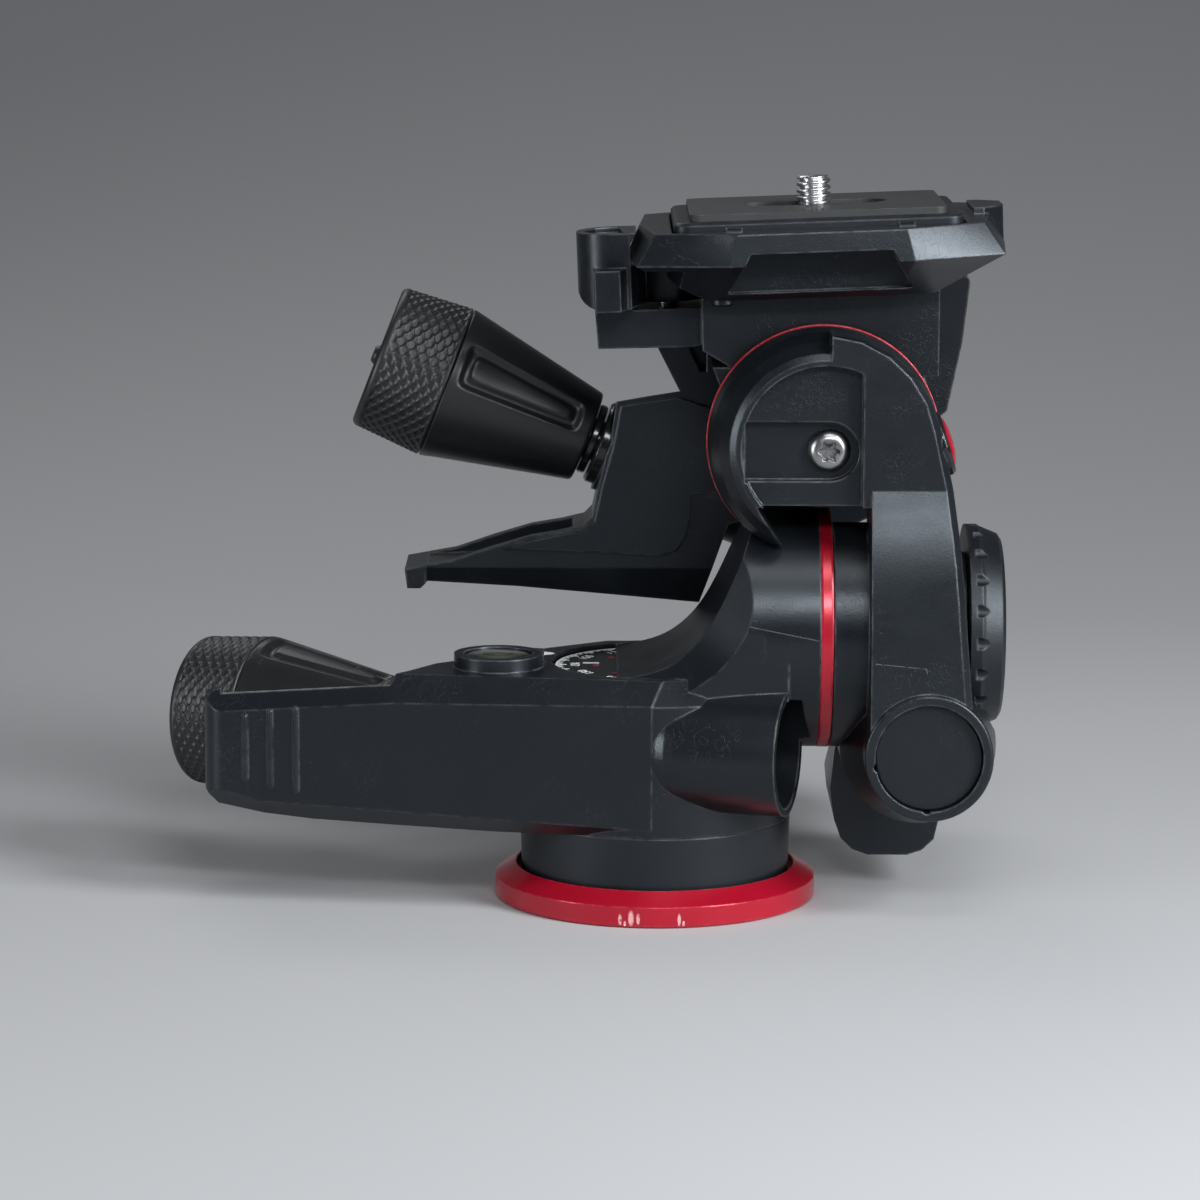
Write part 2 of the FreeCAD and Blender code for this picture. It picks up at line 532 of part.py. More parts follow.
def make_lateral():
    save("c_arm", make_c_arm())
    cap = lathe([(0, CAP_Y1), (CAP_R, CAP_Y1), (CAP_R, CAP_Y0 + 0.3), (CAP_R - 0.3, CAP_Y0), (0, CAP_Y0)],
                BOSS, V(0, 1, 0))
    save("c_arm_cap", cap)
    c, n = BADGE
    bez = lathe([(4.9, -2.0), (6.0, -2.0), (6.0, 1.6), (5.6, 2.2), (5.1, 2.2), (4.9, 2.0)], c, n)
    save("badge_bezel", bez)
    save("badge", lathe([(0, -1.4), (4.9, -1.4), (4.9, 2.1), (4.2, 2.6), (2.6, 3.0), (0, 3.2)], c, n))
    save("lateral_bushing", tube(SHAFT_R + 1.6, SHAFT_R + RUN, V(LAT_FACE + RING_T + 0.3, 0, LAT_Z),
                                 V(40.6, 0, LAT_Z)))
    drum = rod(LAT_DRUM_R + 0.1, V(38.0, 0, LAT_Z), V(54.0, 0, LAT_Z))
    save("lateral_cotter", cotter(LAT_AX, LAT_COTTER[0], LAT_COTTER[1], drum))
    save("lateral_seat_washer", handle_washer(LAT_AX))
    ax = V(TILT_X, 0, TILT_Z)
    r = DISC_R + 0.2
    ring = lathe([(14.0, DISC_Y1), (r, DISC_Y1), (r, DISC_Y1 + 1.2), (14.0, DISC_Y1 + 1.2)], ax, V(0, 1, 0))
    save("tilt_ring", ring.cut(drum_room()).cut(disc_foot()))
    y0 = HOUSE_Y0 + 1.3
    y1 = HOUSE_Y1 - 2.5
    spindle = lathe([(0, -12.0), (SHAFT_R, -12.0), (SHAFT_R, y0), (TILT_DRUM_R, y0), (TILT_DRUM_R, y1),
                     (5.0, y1), (5.0, HOUSE_Y1 + 5.0), (0, HOUSE_Y1 + 5.0)], ax, V(0, 1, 0))
    save("tilt_spindle", spindle)
    screw = lathe([(0, 4.2), (2.6, 4.2), (2.6, 0), (4.0, 0), (3.9, -0.9), (3.3, -1.7), (2.3, -2.2),
                   (1.7, -2.3), (1.7, -0.9), (0, -0.9)], V(31.0, DISC_Y0 + 5.0, 86.3), V(0, 1, 0))
    save("tilt_screw", screw)


# ---------------------------------------------------------------- tilting body
def make_tilt_housing():
    ax0 = V(TILT_X, 0, TILT_Z)
    neck = rod(12.8, ax0.add(V(0, TILT_Y0, 0)), ax0.add(V(0, HOUSE_Y0 + 1, 0)))
    drum = rod(LAT_R - 0.5, ax0.add(V(0, HOUSE_Y0, 0)), ax0.add(V(0, HOUSE_Y1, 0)))
    drum = round_edges(drum, 1.0, lambda e: e.Closed and abs(e.CenterOfMass.y - HOUSE_Y1) < 0.01)
    house = prism_xz([(-7.5, 89.6), (-2.0, 90.6), (4.8, 91.7), (20.0, 94.0), (34.0, 94.0), (34.0, 72.0),
                      (14.0, 66.0), (8.6, 50.5), (-11.8, 52.4), (-26.3, 53.7), (-43.6, 54.7), (-45.0, 53.4),
                      (-47.5, 53.4), (-48.0, 57.1), (-38.3, 58.9), (-31.1, 61.4), (-23.8, 63.6),
                      (-18.0, 64.6), (-13.7, 65.6), (-12.1, 67.2), (-10.7, 74.1), (-8.7, 81.4)],
                     HOUSE_Y0, HOUSE_Y1)
    top = [(-14.0, 88.4), (-7.5, 89.7), (-2.0, 90.7), (4.8, 91.8), (12.0, 92.6), (12.0, 104.0),
           (-14.0, 104.0)]
    house = house.cut(prism([V(x, HOUSE_Y0 - 0.1, z) for x, z in top], V(0, 18.4, -3.6)))
    # the lower side face leans back below the crease
    wedge = prism_yz([(HOUSE_Y0 - 1, 47.0), (HOUSE_Y0 - 1, 57.5), (HOUSE_Y0, 57.5), (HOUSE_Y0 + 2.6, 50.0),
                      (HOUSE_Y0 + 2.6, 47.0)], -44.0, 12.0)
    house = house.cut(wedge)
    plate = prism_xz([(-29.0, 61.3), (-10.0, 60.6), (0.5, 60.0), (4.0, 61.0), (5.8, 63.6), (6.6, 67.0),
                      (6.9, 72.0), (12.0, 72.2), (12.0, 88.0), (4.0, 90.6), (-6.6, 88.9), (-8.0, 81.0),
                      (-10.0, 73.8), (-11.6, 66.6), (-14.0, 64.8), (-24.0, 62.8)],
                     HOUSE_Y0 - 0.9, HOUSE_Y0 + 0.5)
    barrel = rod(9.0, TILT_AX.at(0), TILT_AX.at(-46))
    barrel = barrel.common(box(-20, 60, HOUSE_Y0 - 1.5, HOUSE_Y1 + 1.5, 40, 100))
    body = fuse([neck, drum, house, plate, barrel])
    # trough under the retracted handle, open at the top
    trough = prism_xz([(-43.5, 57.7), (-38.0, 57.9), (-30.8, 58.4), (-23.4, 58.8), (-16.0, 59.0),
                       (-14.6, 90.0), (-43.5, 90.0)], HOUSE_Y0 + 2.6, HOUSE_Y1 - 2.6)
    body = body.cut(trough)
    body = body.cut(handle_nest(TILT_AX, 1.0))
    # bridge to the clamp, in front of the drum
    bridge = prism_xz([(7.8, 114.6), (8.2, 103.0), (14.0, 99.6), (24.0, 97.6), (44.0, 97.6), (51.6, 98.6),
                       (51.6, 114.6)], TILT_Y0, HOUSE_Y1)
    rib = prism_xz([(18.0, 84.0), (14.0, 90.0), (10.0, 100.0), (24.0, 100.0), (30.0, 90.0)], TILT_Y0, 16.0)
    fin = prism_xz([(30.0, 112.8), (59.8, 114.0), (58.3, 101.2), (55.6, 88.0), (50.0, 84.0), (40.0, 78.0),
                    (30.0, 78.0)], HOUSE_Y0 + 0.4, HOUSE_Y1 - 4.0)
    fin = round_edges(fin, 1.2, lambda e: abs(e.Length - (HOUSE_Y1 - HOUSE_Y0 - 4.4)) < 1e-6
                      and e.CenterOfMass.x > 55)
    strut = prism_xz([(-1.5, 103.6), (4.9, 91.0), (12.0, 91.0), (12.0, 104.0)], HOUSE_Y0, HOUSE_Y0 + 8.0)
    strut = strut.cut(prism_xz([(5.2, 102.6), (9.6, 102.6), (9.6, 95.4), (8.4, 95.4)],
                               HOUSE_Y0 - 1, HOUSE_Y0 + 5.0))
    bracket = prism_xz([(-11.6, 109.8), (-11.0, 102.9), (6.2, 103.3), (10.0, 104.0), (10.0, 110.7)],
                       -2.0, 34.0)
    body = fuse([body, bridge, rib, fin, strut, bracket])
    body = body.cut(rolled(box(-60, 60, -60, 60, CLAMP_Z0, 80)))
    # room for the release lever's hub and the lower seat of its pin
    c = LEVER_C
    body = body.cut(rolled(rod(LEVER_ROOM, V(c.x, c.y, LEVER_Z0 - GAP), V(c.x, c.y, 60))))
    body = body.cut(rolled(rod(PIN_R, V(c.x, c.y, PIN_Z0), V(c.x, c.y, 60))))
    # bores
    inner = HOUSE_Y0 + 1.0
    outer = HOUSE_Y1 - 2.0
    body = body.cut(rod(SHAFT_R + 1.8, ax0.add(V(0, TILT_Y0 - 1, 0)), ax0.add(V(0, inner, 0))))
    body = body.cut(rod(TILT_DRUM_R + GAP, ax0.add(V(0, inner, 0)), ax0.add(V(0, outer, 0))))
    body = body.cut(rod(5.0 + GAP, ax0.add(V(0, outer - 1, 0)), ax0.add(V(0, HOUSE_Y1 + 1, 0))))
    body = body.cut(bolt_bore(TILT_AX, TILT_IN, *TILT_COTTER))
    return body.removeSplitter()


def friction_knob(face, axis, bore_depth):
    """Ribbed dial on a spindle end; face is the centre of its inner side."""
    body = lathe([(0, 0), (KNOB_R, 0), (KNOB_R, 2.2), (KNOB_R - 0.4, 2.8), (KNOB_R - 1.7, 6.0),
                  (KNOB_R - 2.6, 6.6), (12.4, 6.6), (11.8, 5.6), (0, 5.6)], face, axis)
    w = V(axis).normalize()
    side = V(0, 0, 1)
    u = w.cross(side).normalize()
    v = w.cross(u)
    rim = KNOB_R + 0.6
    cuts = []
    for k in range(20):
        a = 2 * math.pi * k / 20
        c = face.add(V(u).multiply(rim * math.cos(a))).add(V(v).multiply(rim * math.sin(a)))
        cuts.append(rod(1.3, c.add(V(w).multiply(1.2)), c.add(V(w).multiply(8))))
    body = body.cut(Part.makeCompound(cuts))
    return body.cut(rod(5.0 + RUN, face.sub(V(w)), face.add(V(w).multiply(bore_depth))))


# ---------------------------------------------------------------- clamp and plate, built level then rolled
def rolled(shape):
    """Clamp frame to the head's frame: origin at the tilt axis, right side raised by ROLL."""
    out = shape.copy()
    out.translate(V(TILT_X, 0, TILT_Z))
    out.rotate(V(TILT_X, 0, TILT_Z), V(0, 1, 0), -ROLL)
    return out


def ring10(xc, xs, xm, xb, y0, y1):
    """Ten sided outline: half widths at the front, the front corners, the middle and the back corners."""
    c = CLAMP_Y
    return [(-xc, c - y0), (xc, c - y0), (xs, c - y1), (xm, c), (xb, c + y1), (xc, c + y0), (-xc, c + y0),
            (-xb, c + y1), (-xm, c), (-xs, c - y1)]


def section(pts, z):
    pp = [V(x, y, z) for x, y in pts]
    return Part.makePolygon(pp + [pp[0]])


def make_clamp_body():
    top = ring10(15.3, 29.6, 32.3, 31.2, 29.2, 21.4)
    wide = ring10(16.6, 33.2, 35.0, 33.2, 29.8, 23.2)
    low = ring10(13.5, 20.8, 22.0, 20.8, 16.0, 14.4)
    upper = Part.makeLoft([section(wide, 34.3), section(top, 40.0)], True, True)
    lower = Part.makeLoft([section(low, CLAMP_Z0), section(wide, 34.3)], True, True)
    lug = prism_xy([(29.0, CLAMP_Y - 5.0), (31.0, CLAMP_Y - 4.6), (34.8, CLAMP_Y), (34.8, CLAMP_Y + 8.0),
                    (31.0, CLAMP_Y + 12.0), (29.0, CLAMP_Y + 12.0)], 34.3, 41.3)
    body = fuse([upper, lower, lug])
    hollow = prism_xz([(-12.7, 36.4), (12.7, 36.4), (16.8, 28.4), (-16.8, 28.4)], -40.0, CLAMP_Y - 17.2)
    body = body.cut(hollow)
    body = body.cut(box(-PLATE_L / 2 - 0.35, PLATE_L / 2 + 0.35, CLAMP_Y - PLATE_W / 2 - 0.35,
                        CLAMP_Y + PLATE_W / 2 + 0.35, PLATE_Z0, 50))
    body = body.cut(box(-21.0, 21.0, CLAMP_Y - 14.0, CLAMP_Y + 14.0, 30.0, 50))
    for x in (-17.0, 14.0):
        body = body.fuse(rod(1.6, V(x, CLAMP_Y - 24.6, 39.4), V(x + 3.0, CLAMP_Y - 24.6, 39.4)))
    # pocket for the lever's hub and slot for its cam
    c = LEVER_C
    roof = LEVER_Z1 + 0.4
    body = body.cut(rod(LEVER_ROOM, V(c.x, c.y, 20), V(c.x, c.y, roof)))
    cam_slot = prism_xy([(c.x, c.y - LEVER_ROOM), (c.x, c.y + LEVER_ROOM), (-40, c.y + 30), (-60, c.y),
                         (-40, -40), (-22.5, -40)], 20, roof)
    body = body.cut(cam_slot.common(box(-60, -22.5, -40, 60, 20, roof)))
    body = body.cut(rod(PIN_R, V(c.x, c.y, 20), V(c.x, c.y, PIN_Z1)))
    body = body.cut(rod(2.2, V(BUTTON_C.x, BUTTON_C.y, 20), V(BUTTON_C.x, BUTTON_C.y, 31)))
    return body.removeSplitter()


LEVER_C = V(-27.5, 11.0, 0)
LEVER_R = 7.6
LEVER_ROOM = 9.2
LEVER_Z0 = 25.4
LEVER_Z1 = 33.0
LEVER_TOP = 39.4
PIN_R = 2.0
PIN_Z0 = 23.0
PIN_Z1 = 36.2
BUTTON_C = V(-17.6, -8.2, 0)


def make_lever():
    """Release lever: hub on the pin, root block beside the clamp, tall rounded paddle behind it."""
    c = LEVER_C
    hub = rod(LEVER_R, V(c.x, c.y, LEVER_Z0), V(c.x, c.y, LEVER_Z1))
    arm = prism_xy([(c.x - 3.0, c.y + 6.9), (-41.0, 4.0), (-40.9, -12.0), (-36.2, -12.0), (-33.0, -2.0),
                    (c.x - 4.0, c.y - 6.4)], LEVER_Z0, LEVER_Z1)
    finger = [(-34.2, -8.2), (-38.0, -7.9), (-41.4, -6.4), (-43.4, -3.6), (-44.0, 0.0), (-43.2, 3.6),
              (-41.0, 6.4), (-37.6, 7.9), (-35.4, 8.0)]
    paddle = swept([V(x, y, LEVER_Z0) for x, y in finger], [V(-35.4, -2.0, LEVER_Z0)])
    paddle = Part.Face(paddle).extrude(V(0, 0, LEVER_TOP - LEVER_Z0))
    # its upper end reaches over the clamp's sloping flank, and its top is a shallow dish
    reach = prism_xz([(-36.5, 35.0), (-35.5, 35.0), (-33.0, LEVER_TOP), (-36.5, LEVER_TOP)], -7.6, 7.6)
    hand = [(-39.0 + 0.78 * (x + 39.0), 0.8 * y) for x, y in finger]
    dish = prism_xy(hand, LEVER_TOP - 1.2, LEVER_TOP + 1)
    # rounded lower corner of the finger piece
    turn = [math.radians(a) for a in range(180, 271, 15)]
    low = [(-40.0 + 4.1 * math.cos(t), LEVER_Z0 + 4.0 + 4.0 * math.sin(t)) for t in turn]
    keel = prism_xz([(-46.0, LEVER_Z0 + 4.0)] + low + [(-40.0, 20.0), (-46.0, 20.0)], -20.0, 20.0)
    body = fuse([hub, arm, paddle.cut(keel), reach]).cut(dish)
    return body.cut(rod(PIN_R + RUN, V(c.x, c.y, 20), V(c.x, c.y, 40)))


def make_plate():
    body = box(-PLATE_L / 2, PLATE_L / 2, CLAMP_Y - PLATE_W / 2, CLAMP_Y + PLATE_W / 2, PLATE_Z0, PLATE_Z1)
    body = round_edges(body, 3.0, lambda e: abs(e.Length - (PLATE_Z1 - PLATE_Z0)) < 1e-6)
    body = bevel_edges(body, 0.5, lambda e: abs(e.CenterOfMass.z - PLATE_Z1) < 0.01)
    hole = rod(SCREW_R + GAP, V(0, CLAMP_Y, 30), V(0, CLAMP_Y, 50))
    head = rod(8.2, V(0, CLAMP_Y, 30), V(0, CLAMP_Y, PLATE_Z0 + 3.0))
    body = body.cut(hole).cut(head)
    return body


def make_pad():
    pad = box(-23.3, 23.3, CLAMP_Y - 18.6, CLAMP_Y + 18.6, PLATE_Z1, PAD_Z1)
    pad = round_edges(pad, 2.0, lambda e: abs(e.Length - (PAD_Z1 - PLATE_Z1)) < 1e-6)
    slot = box(-9.0, 9.0, CLAMP_Y - 4.4, CLAMP_Y + 4.4, PLATE_Z1, PAD_Z1 + 1)
    slot = slot.fuse(rod(4.4, V(-9.0, CLAMP_Y, PLATE_Z1), V(-9.0, CLAMP_Y, PAD_Z1 + 1)))
    slot = slot.fuse(rod(4.4, V(9.0, CLAMP_Y, PLATE_Z1), V(9.0, CLAMP_Y, PAD_Z1 + 1)))
    return pad.cut(slot)


def make_camera_screw():
    """1/4 inch screw standing above the pad, with a slotted flat head below the plate."""
    z0 = PLATE_Z0 + 0.6
    top = PAD_Z1 + 5.0
    neck = SCREW_R - 0.6
    body = lathe([(0, z0), (7.6, z0), (7.6, z0 + 2.1), (neck, z0 + 2.1), (neck, PAD_Z1), (SCREW_R, PAD_Z1),
                  (SCREW_R, top - 0.5), (SCREW_R - 0.5, top), (0, top)], V(0, CLAMP_Y, 0), V(0, 0, 1))
    return body.cut(box(-8, 8, CLAMP_Y - 0.7, CLAMP_Y + 0.7, z0 - 1, z0 + 1.2))


def make_tilt():
    save("tilt_housing", make_tilt_housing())
    ax0 = V(TILT_X, 0, TILT_Z)
    save("tilt_bushing", tube(SHAFT_R + 1.8, SHAFT_R + RUN, ax0.add(V(0, TILT_Y0, 0)),
                              ax0.add(V(0, HOUSE_Y0 + 1.0, 0))))
    drum = rod(TILT_DRUM_R + GAP, ax0, ax0.add(V(0, 60, 0)))
    save("tilt_cotter", cotter(TILT_AX, TILT_COTTER[0], TILT_COTTER[1], drum))
    save("tilt_seat_washer", handle_washer(TILT_AX))
    save("clamp_body", rolled(make_clamp_body()))
    c = LEVER_C
    save("lever_pin", rolled(rod(PIN_R, V(c.x, c.y, PIN_Z0), V(c.x, c.y, PIN_Z1))))
    save("release_lever", rolled(make_lever()))
    b = BUTTON_C
    button = lathe([(0, 25.6), (1.8, 25.6), (2.14, 25.9), (2.14, 30.3), (2.7, 30.3), (2.7, 31.1), (0, 31.1)],
                   V(b.x, b.y, 0), V(0, 0, 1))
    save("safety_button", rolled(button))
    save("plate_body", rolled(make_plate()))
    save("plate_pad", rolled(make_pad()))
    save("camera_screw", rolled(make_camera_screw()))


def make_handles():
    for tag, ax, inner in (("pan", PAN_AX, PAN_IN), ("lateral", LAT_AX, LAT_IN), ("tilt", TILT_AX, TILT_IN)):
        save(tag + "_bolt", handle_bolt(ax, inner))
        save(tag + "_sleeve", handle_sleeve(ax))
        save(tag + "_grip", handle_grip(ax))
    save("lateral_knob", friction_knob(V(ARM_OUT + GAP, 0, LAT_Z), V(1, 0, 0), 4.2))
    save("tilt_knob", friction_knob(V(TILT_X, HOUSE_Y1 + GAP, TILT_Z), V(0, 1, 0), 5.0))


os.makedirs("parts", exist_ok=True)
make_base()
make_pan()
make_lateral()
make_tilt()
make_handles()
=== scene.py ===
import math

import bmesh
import bpy
import numpy as np
from mathutils import Matrix, Vector


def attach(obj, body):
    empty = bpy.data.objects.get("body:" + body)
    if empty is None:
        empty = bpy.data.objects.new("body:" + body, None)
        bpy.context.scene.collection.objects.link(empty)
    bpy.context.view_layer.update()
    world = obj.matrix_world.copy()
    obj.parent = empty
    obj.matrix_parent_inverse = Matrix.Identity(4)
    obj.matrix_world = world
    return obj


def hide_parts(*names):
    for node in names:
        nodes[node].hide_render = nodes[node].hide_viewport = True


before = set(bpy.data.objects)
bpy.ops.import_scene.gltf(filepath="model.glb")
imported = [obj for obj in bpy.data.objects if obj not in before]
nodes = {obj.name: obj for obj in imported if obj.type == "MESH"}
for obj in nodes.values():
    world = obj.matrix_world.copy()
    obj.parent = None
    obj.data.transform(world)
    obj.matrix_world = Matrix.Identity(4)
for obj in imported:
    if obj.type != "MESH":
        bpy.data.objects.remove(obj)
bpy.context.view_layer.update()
MM = 0.001


# ---------------------------------------------------------------- camera and light
# lens and sensor in mm, place in metres, pitch and roll in radians
LENS, SENSOR = 138.75, 36.0
CAMERA_AT = (-0.01048, -0.85, 0.1998)
CAMERA_DOWN, CAMERA_ROLL = 0.168, 0.004
ROOM_TONE, ROOM_LEVEL = (0.32, 0.34, 0.37, 1), 0.20
WHITE, COOL, COOLER = (1.0, 1.0, 1.0), (0.95, 0.98, 1.0), (0.94, 0.98, 1.0)
# name, place and aim in metres, width and height, watts, tint
LAMPS = [
    ("overhead", (0.06, -0.32, 0.62), (0.02, 0.0, 0.08), (0.26, 0.16), 0.7, WHITE),
    ("left_window", (-0.56, -0.28, 0.155), (0.0, 0.0, 0.05), (0.12, 0.29), 1.6, COOLER),
    ("right_window", (0.48, -0.38, 0.36), (0.02, 0.0, 0.10), (0.24, 0.50), 8.0, COOL),
    ("front_window", (0.08, -0.56, 0.38), (0.04, 0.0, 0.08), (0.20, 0.08), 1.4, COOL),
    ("back_fill", (-0.22, 0.42, 0.52), (0.0, 0.0, 0.08), (0.40, 0.20), 0.7, WHITE),
]


def placed(name, data):
    """New object in the scene for a mesh, camera, lamp or text."""
    obj = bpy.data.objects.new(name, data)
    bpy.context.scene.collection.objects.link(obj)
    return obj


def set_camera():
    """A long lens a little above the head, looking down by under ten degrees."""
    lens = bpy.data.cameras.new("camera")
    lens.lens = LENS
    lens.sensor_width = SENSOR
    lens.sensor_fit = "HORIZONTAL"
    lens.clip_start = 0.01
    cam = placed("camera", lens)
    turn = Matrix.Rotation(math.pi / 2 - CAMERA_DOWN, 4, "X") @ Matrix.Rotation(CAMERA_ROLL, 4, "Z")
    cam.matrix_world = Matrix.Translation(CAMERA_AT) @ turn
    bpy.context.scene.camera = cam


def softbox(name, place, aim, size, watts, tint):
    """A rectangular lamp at place that faces aim."""
    lamp = bpy.data.lights.new(name, "AREA")
    lamp.shape = "RECTANGLE"
    lamp.size, lamp.size_y = size
    lamp.energy = watts
    lamp.color = tint
    obj = placed(name, lamp)
    obj.location = place
    obj.rotation_euler = (Vector(aim) - Vector(place)).to_track_quat("-Z", "Y").to_euler()


def light_room():
    """Dim, slightly cool room, the lamps and a plain view transform."""
    world = bpy.data.worlds.new("studio")
    world.use_nodes = True
    room = world.node_tree.nodes["Background"]
    room.inputs["Color"].default_value = ROOM_TONE
    room.inputs["Strength"].default_value = ROOM_LEVEL
    bpy.context.scene.world = world
    for lamp in LAMPS:
        softbox(*lamp)
    bpy.context.scene.view_settings.view_transform = "Standard"


set_camera()
light_room()


# ---------------------------------------------------------------- shader writing
class Val:
    """A shader value: arithmetic on it adds Math nodes to the finish it belongs to."""

    def __init__(self, finish, socket):
        self.finish = finish
        self.socket = socket

    def math(self, operation, *others, clamp=False):
        node = self.finish.add("ShaderNodeMath", {"operation": operation, "use_clamp": clamp},
                               {i: v for i, v in enumerate((self,) + others)})
        return Val(self.finish, node.outputs[0])

    def swapped(self, operation, other):
        node = self.finish.add("ShaderNodeMath", {"operation": operation}, {0: other, 1: self})
        return Val(self.finish, node.outputs[0])

    def __add__(self, o): return self.math("ADD", o)
    def __radd__(self, o): return self.math("ADD", o)
    def __sub__(self, o): return self.math("SUBTRACT", o)
    def __rsub__(self, o): return self.swapped("SUBTRACT", o)
    def __mul__(self, o): return self.math("MULTIPLY", o)
    def __rmul__(self, o): return self.math("MULTIPLY", o)
    def __truediv__(self, o): return self.math("DIVIDE", o)
    def __rtruediv__(self, o): return self.swapped("DIVIDE", o)
    def __pow__(self, o): return self.math("POWER", o)
    def __abs__(self): return self.math("ABSOLUTE")

    def clamp(self):
        return self.math("ADD", 0.0, clamp=True)

    def step(self, low, high):
        """0 below low, 1 above high and a smooth rise between."""
        node = self.finish.add("ShaderNodeMapRange", {"interpolation_type": "SMOOTHSTEP"},
                               {"Value": self, "From Min": low, "From Max": high})
        return Val(self.finish, node.outputs[0])


class Finish:
    """A node material under construction."""

    def __init__(self, name):
        self.material = bpy.data.materials.new(name)
        self.material.use_nodes = True
        self.tree = self.material.node_tree
        self.tree.nodes.clear()
        self.place = self.add("ShaderNodeTexCoord", {}, {}).outputs["Object"]

    def add(self, kind, settings, sockets):
        node = self.tree.nodes.new(kind)
        for key, value in settings.items():
            setattr(node, key, value)
        for key, value in sockets.items():
            self.feed(node.inputs[key], value)
        return node

    def feed(self, target, value):
        """Link a value or an output to an input, or set the input to a constant."""
        if isinstance(value, Val):
            self.tree.links.new(value.socket, target)
        elif isinstance(value, bpy.types.NodeSocket):
            self.tree.links.new(value, target)
        else:
            target.default_value = value

    def at(self, scale=(1, 1, 1), turn=(0, 0, 0), shift=(0, 0, 0)):
        """Place on the surface, stretched, turned or shifted."""
        node = self.add("ShaderNodeMapping", {}, {"Vector": self.place, "Scale": scale, "Rotation": turn,
                                                   "Location": shift})
        return node.outputs[0]

    def noise(self, scale, detail=2.0, rough=0.5, where=None):
        node = self.add("ShaderNodeTexNoise", {}, {"Vector": where or self.place, "Scale": scale,
                                                   "Detail": detail, "Roughness": rough})
        return Val(self, node.outputs["Fac"])

    def cells(self, scale):
        node = self.add("ShaderNodeTexVoronoi", {"feature": "F1"}, {"Vector": self.place, "Scale": scale})
        return Val(self, node.outputs["Distance"])

    def xyz(self):
        node = self.add("ShaderNodeSeparateXYZ", {}, {0: self.place})
        return [Val(self, node.outputs[i]) for i in range(3)]

    def mix(self, factor, a, b):
        """Colour between a and b; each is a link or red, green and blue."""
        a, b = (c if isinstance(c, bpy.types.NodeSocket) else tuple(c) + (1.0,) for c in (a, b))
        node = self.add("ShaderNodeMix", {"data_type": "RGBA"}, {0: factor, 6: a, 7: b})
        return node.outputs[2]

    def soft_edges(self, radius):
        """Normal of the surface with its edges rounded by radius."""
        return self.add("ShaderNodeBevel", {"samples": 6}, {"Radius": radius}).outputs[0]

    def edge_mask(self, radius, gain):
        """1 on edges: how far the rounded normal turns from the surface's own."""
        own = self.add("ShaderNodeNewGeometry", {}, {}).outputs["Normal"]
        dot = self.add("ShaderNodeVectorMath", {"operation": "DOT_PRODUCT"},
                       {0: self.soft_edges(radius), 1: own})
        return ((1.0 - Val(self, dot.outputs["Value"])) * gain).clamp()

    def lines(self, marks, width):
        """1 on thin straight lines of the front, each (x0, z0, x1, z1) in mm: the distance of a point from a
        line is the distance from the nearest point between its ends."""
        x, y, z = self.xyz()
        front = 1.0 - y.step(-0.012, -0.008)
        total = None
        for x0, z0, x1, z1 in marks:
            dx, dz = x1 - x0, z1 - z0
            px, pz = x * 1000.0 - x0, z * 1000.0 - z0
            t = ((px * dx + pz * dz) / (dx * dx + dz * dz)).clamp()
            far = ((px - t * dx) ** 2 + (pz - t * dz) ** 2).math("SQRT")
            line = 1.0 - far.step(width * 0.4, width)
            total = line if total is None else total + line
        return (total * front).clamp()

    def bump(self, height, distance, normal=None):
        sockets = {"Height": height, "Distance": distance, "Strength": 1.0}
        if normal is not None:
            sockets["Normal"] = normal
        return self.add("ShaderNodeBump", {}, sockets).outputs[0]

    def finish(self, color, roughness, normal=None, **extra):
        """Close the material with its shader."""
        sockets = {"Base Color": color, "Roughness": roughness}
        if not isinstance(color, (Val, bpy.types.NodeSocket)):
            sockets["Base Color"] = tuple(color) + (1.0,)
        if normal is not None:
            sockets["Normal"] = normal
        sockets.update(extra)
        shader = self.add("ShaderNodeBsdfPrincipled", {}, sockets)
        self.add("ShaderNodeOutputMaterial", {}, {"Surface": shader.outputs[0]})
        return self.material


# ---------------------------------------------------------------- finishes
# black of the castings, the grey that their worn edges show, and how far their edges look rounded, in metres
SHELL = (0.0050, 0.0062, 0.0080)
WORN_GREY = (0.085, 0.088, 0.094)
SHELL_EDGE = 0.0005
# parting lines seen from the front: x0, z0, x1, z1, and half their width, in mm
HUB_SEAMS = [(16.9, 54.5, 29.4, 52.0)]
ARM_SEAMS = [(39.3, 48.9, 48.5, 48.0), (48.5, 48.0, 48.7, 47.2)]
SEAM_HALF = 0.11
# nicks on the front of the base ring: x, z of the middle and half width, half height, in metres
SCARS = [
    (-0.0066, 0.0016, 0.0004, 0.0012), (-0.0046, 0.0019, 0.0006, 0.0017), (-0.0033, 0.0018, 0.0004, 0.0012),
    (0.0042, 0.0017, 0.0004, 0.0013), (0.0050, 0.0010, 0.0003, 0.0006), (-0.0057, 0.0009, 0.0003, 0.0006),
]
# middle of the level in metres, radius of the ring printed on it in mm
LEVEL_X, LEVEL_Y, LEVEL_RING_R = -0.0293, -0.0067, 2.6


def scratches(f, scale, turn, width):
    """Thin lines along one direction, broken up by a slow noise."""
    lines = f.noise(scale, 1.0, 0.4, f.at((1.0, 0.05, 1.0), turn))
    gate = f.noise(90.0, 2.0, 0.5, f.at(shift=(turn[2], turn[0], 0.3)))
    return (1.0 - abs(lines - 0.5).step(0.0, width)) * gate.step(0.50, 0.66)


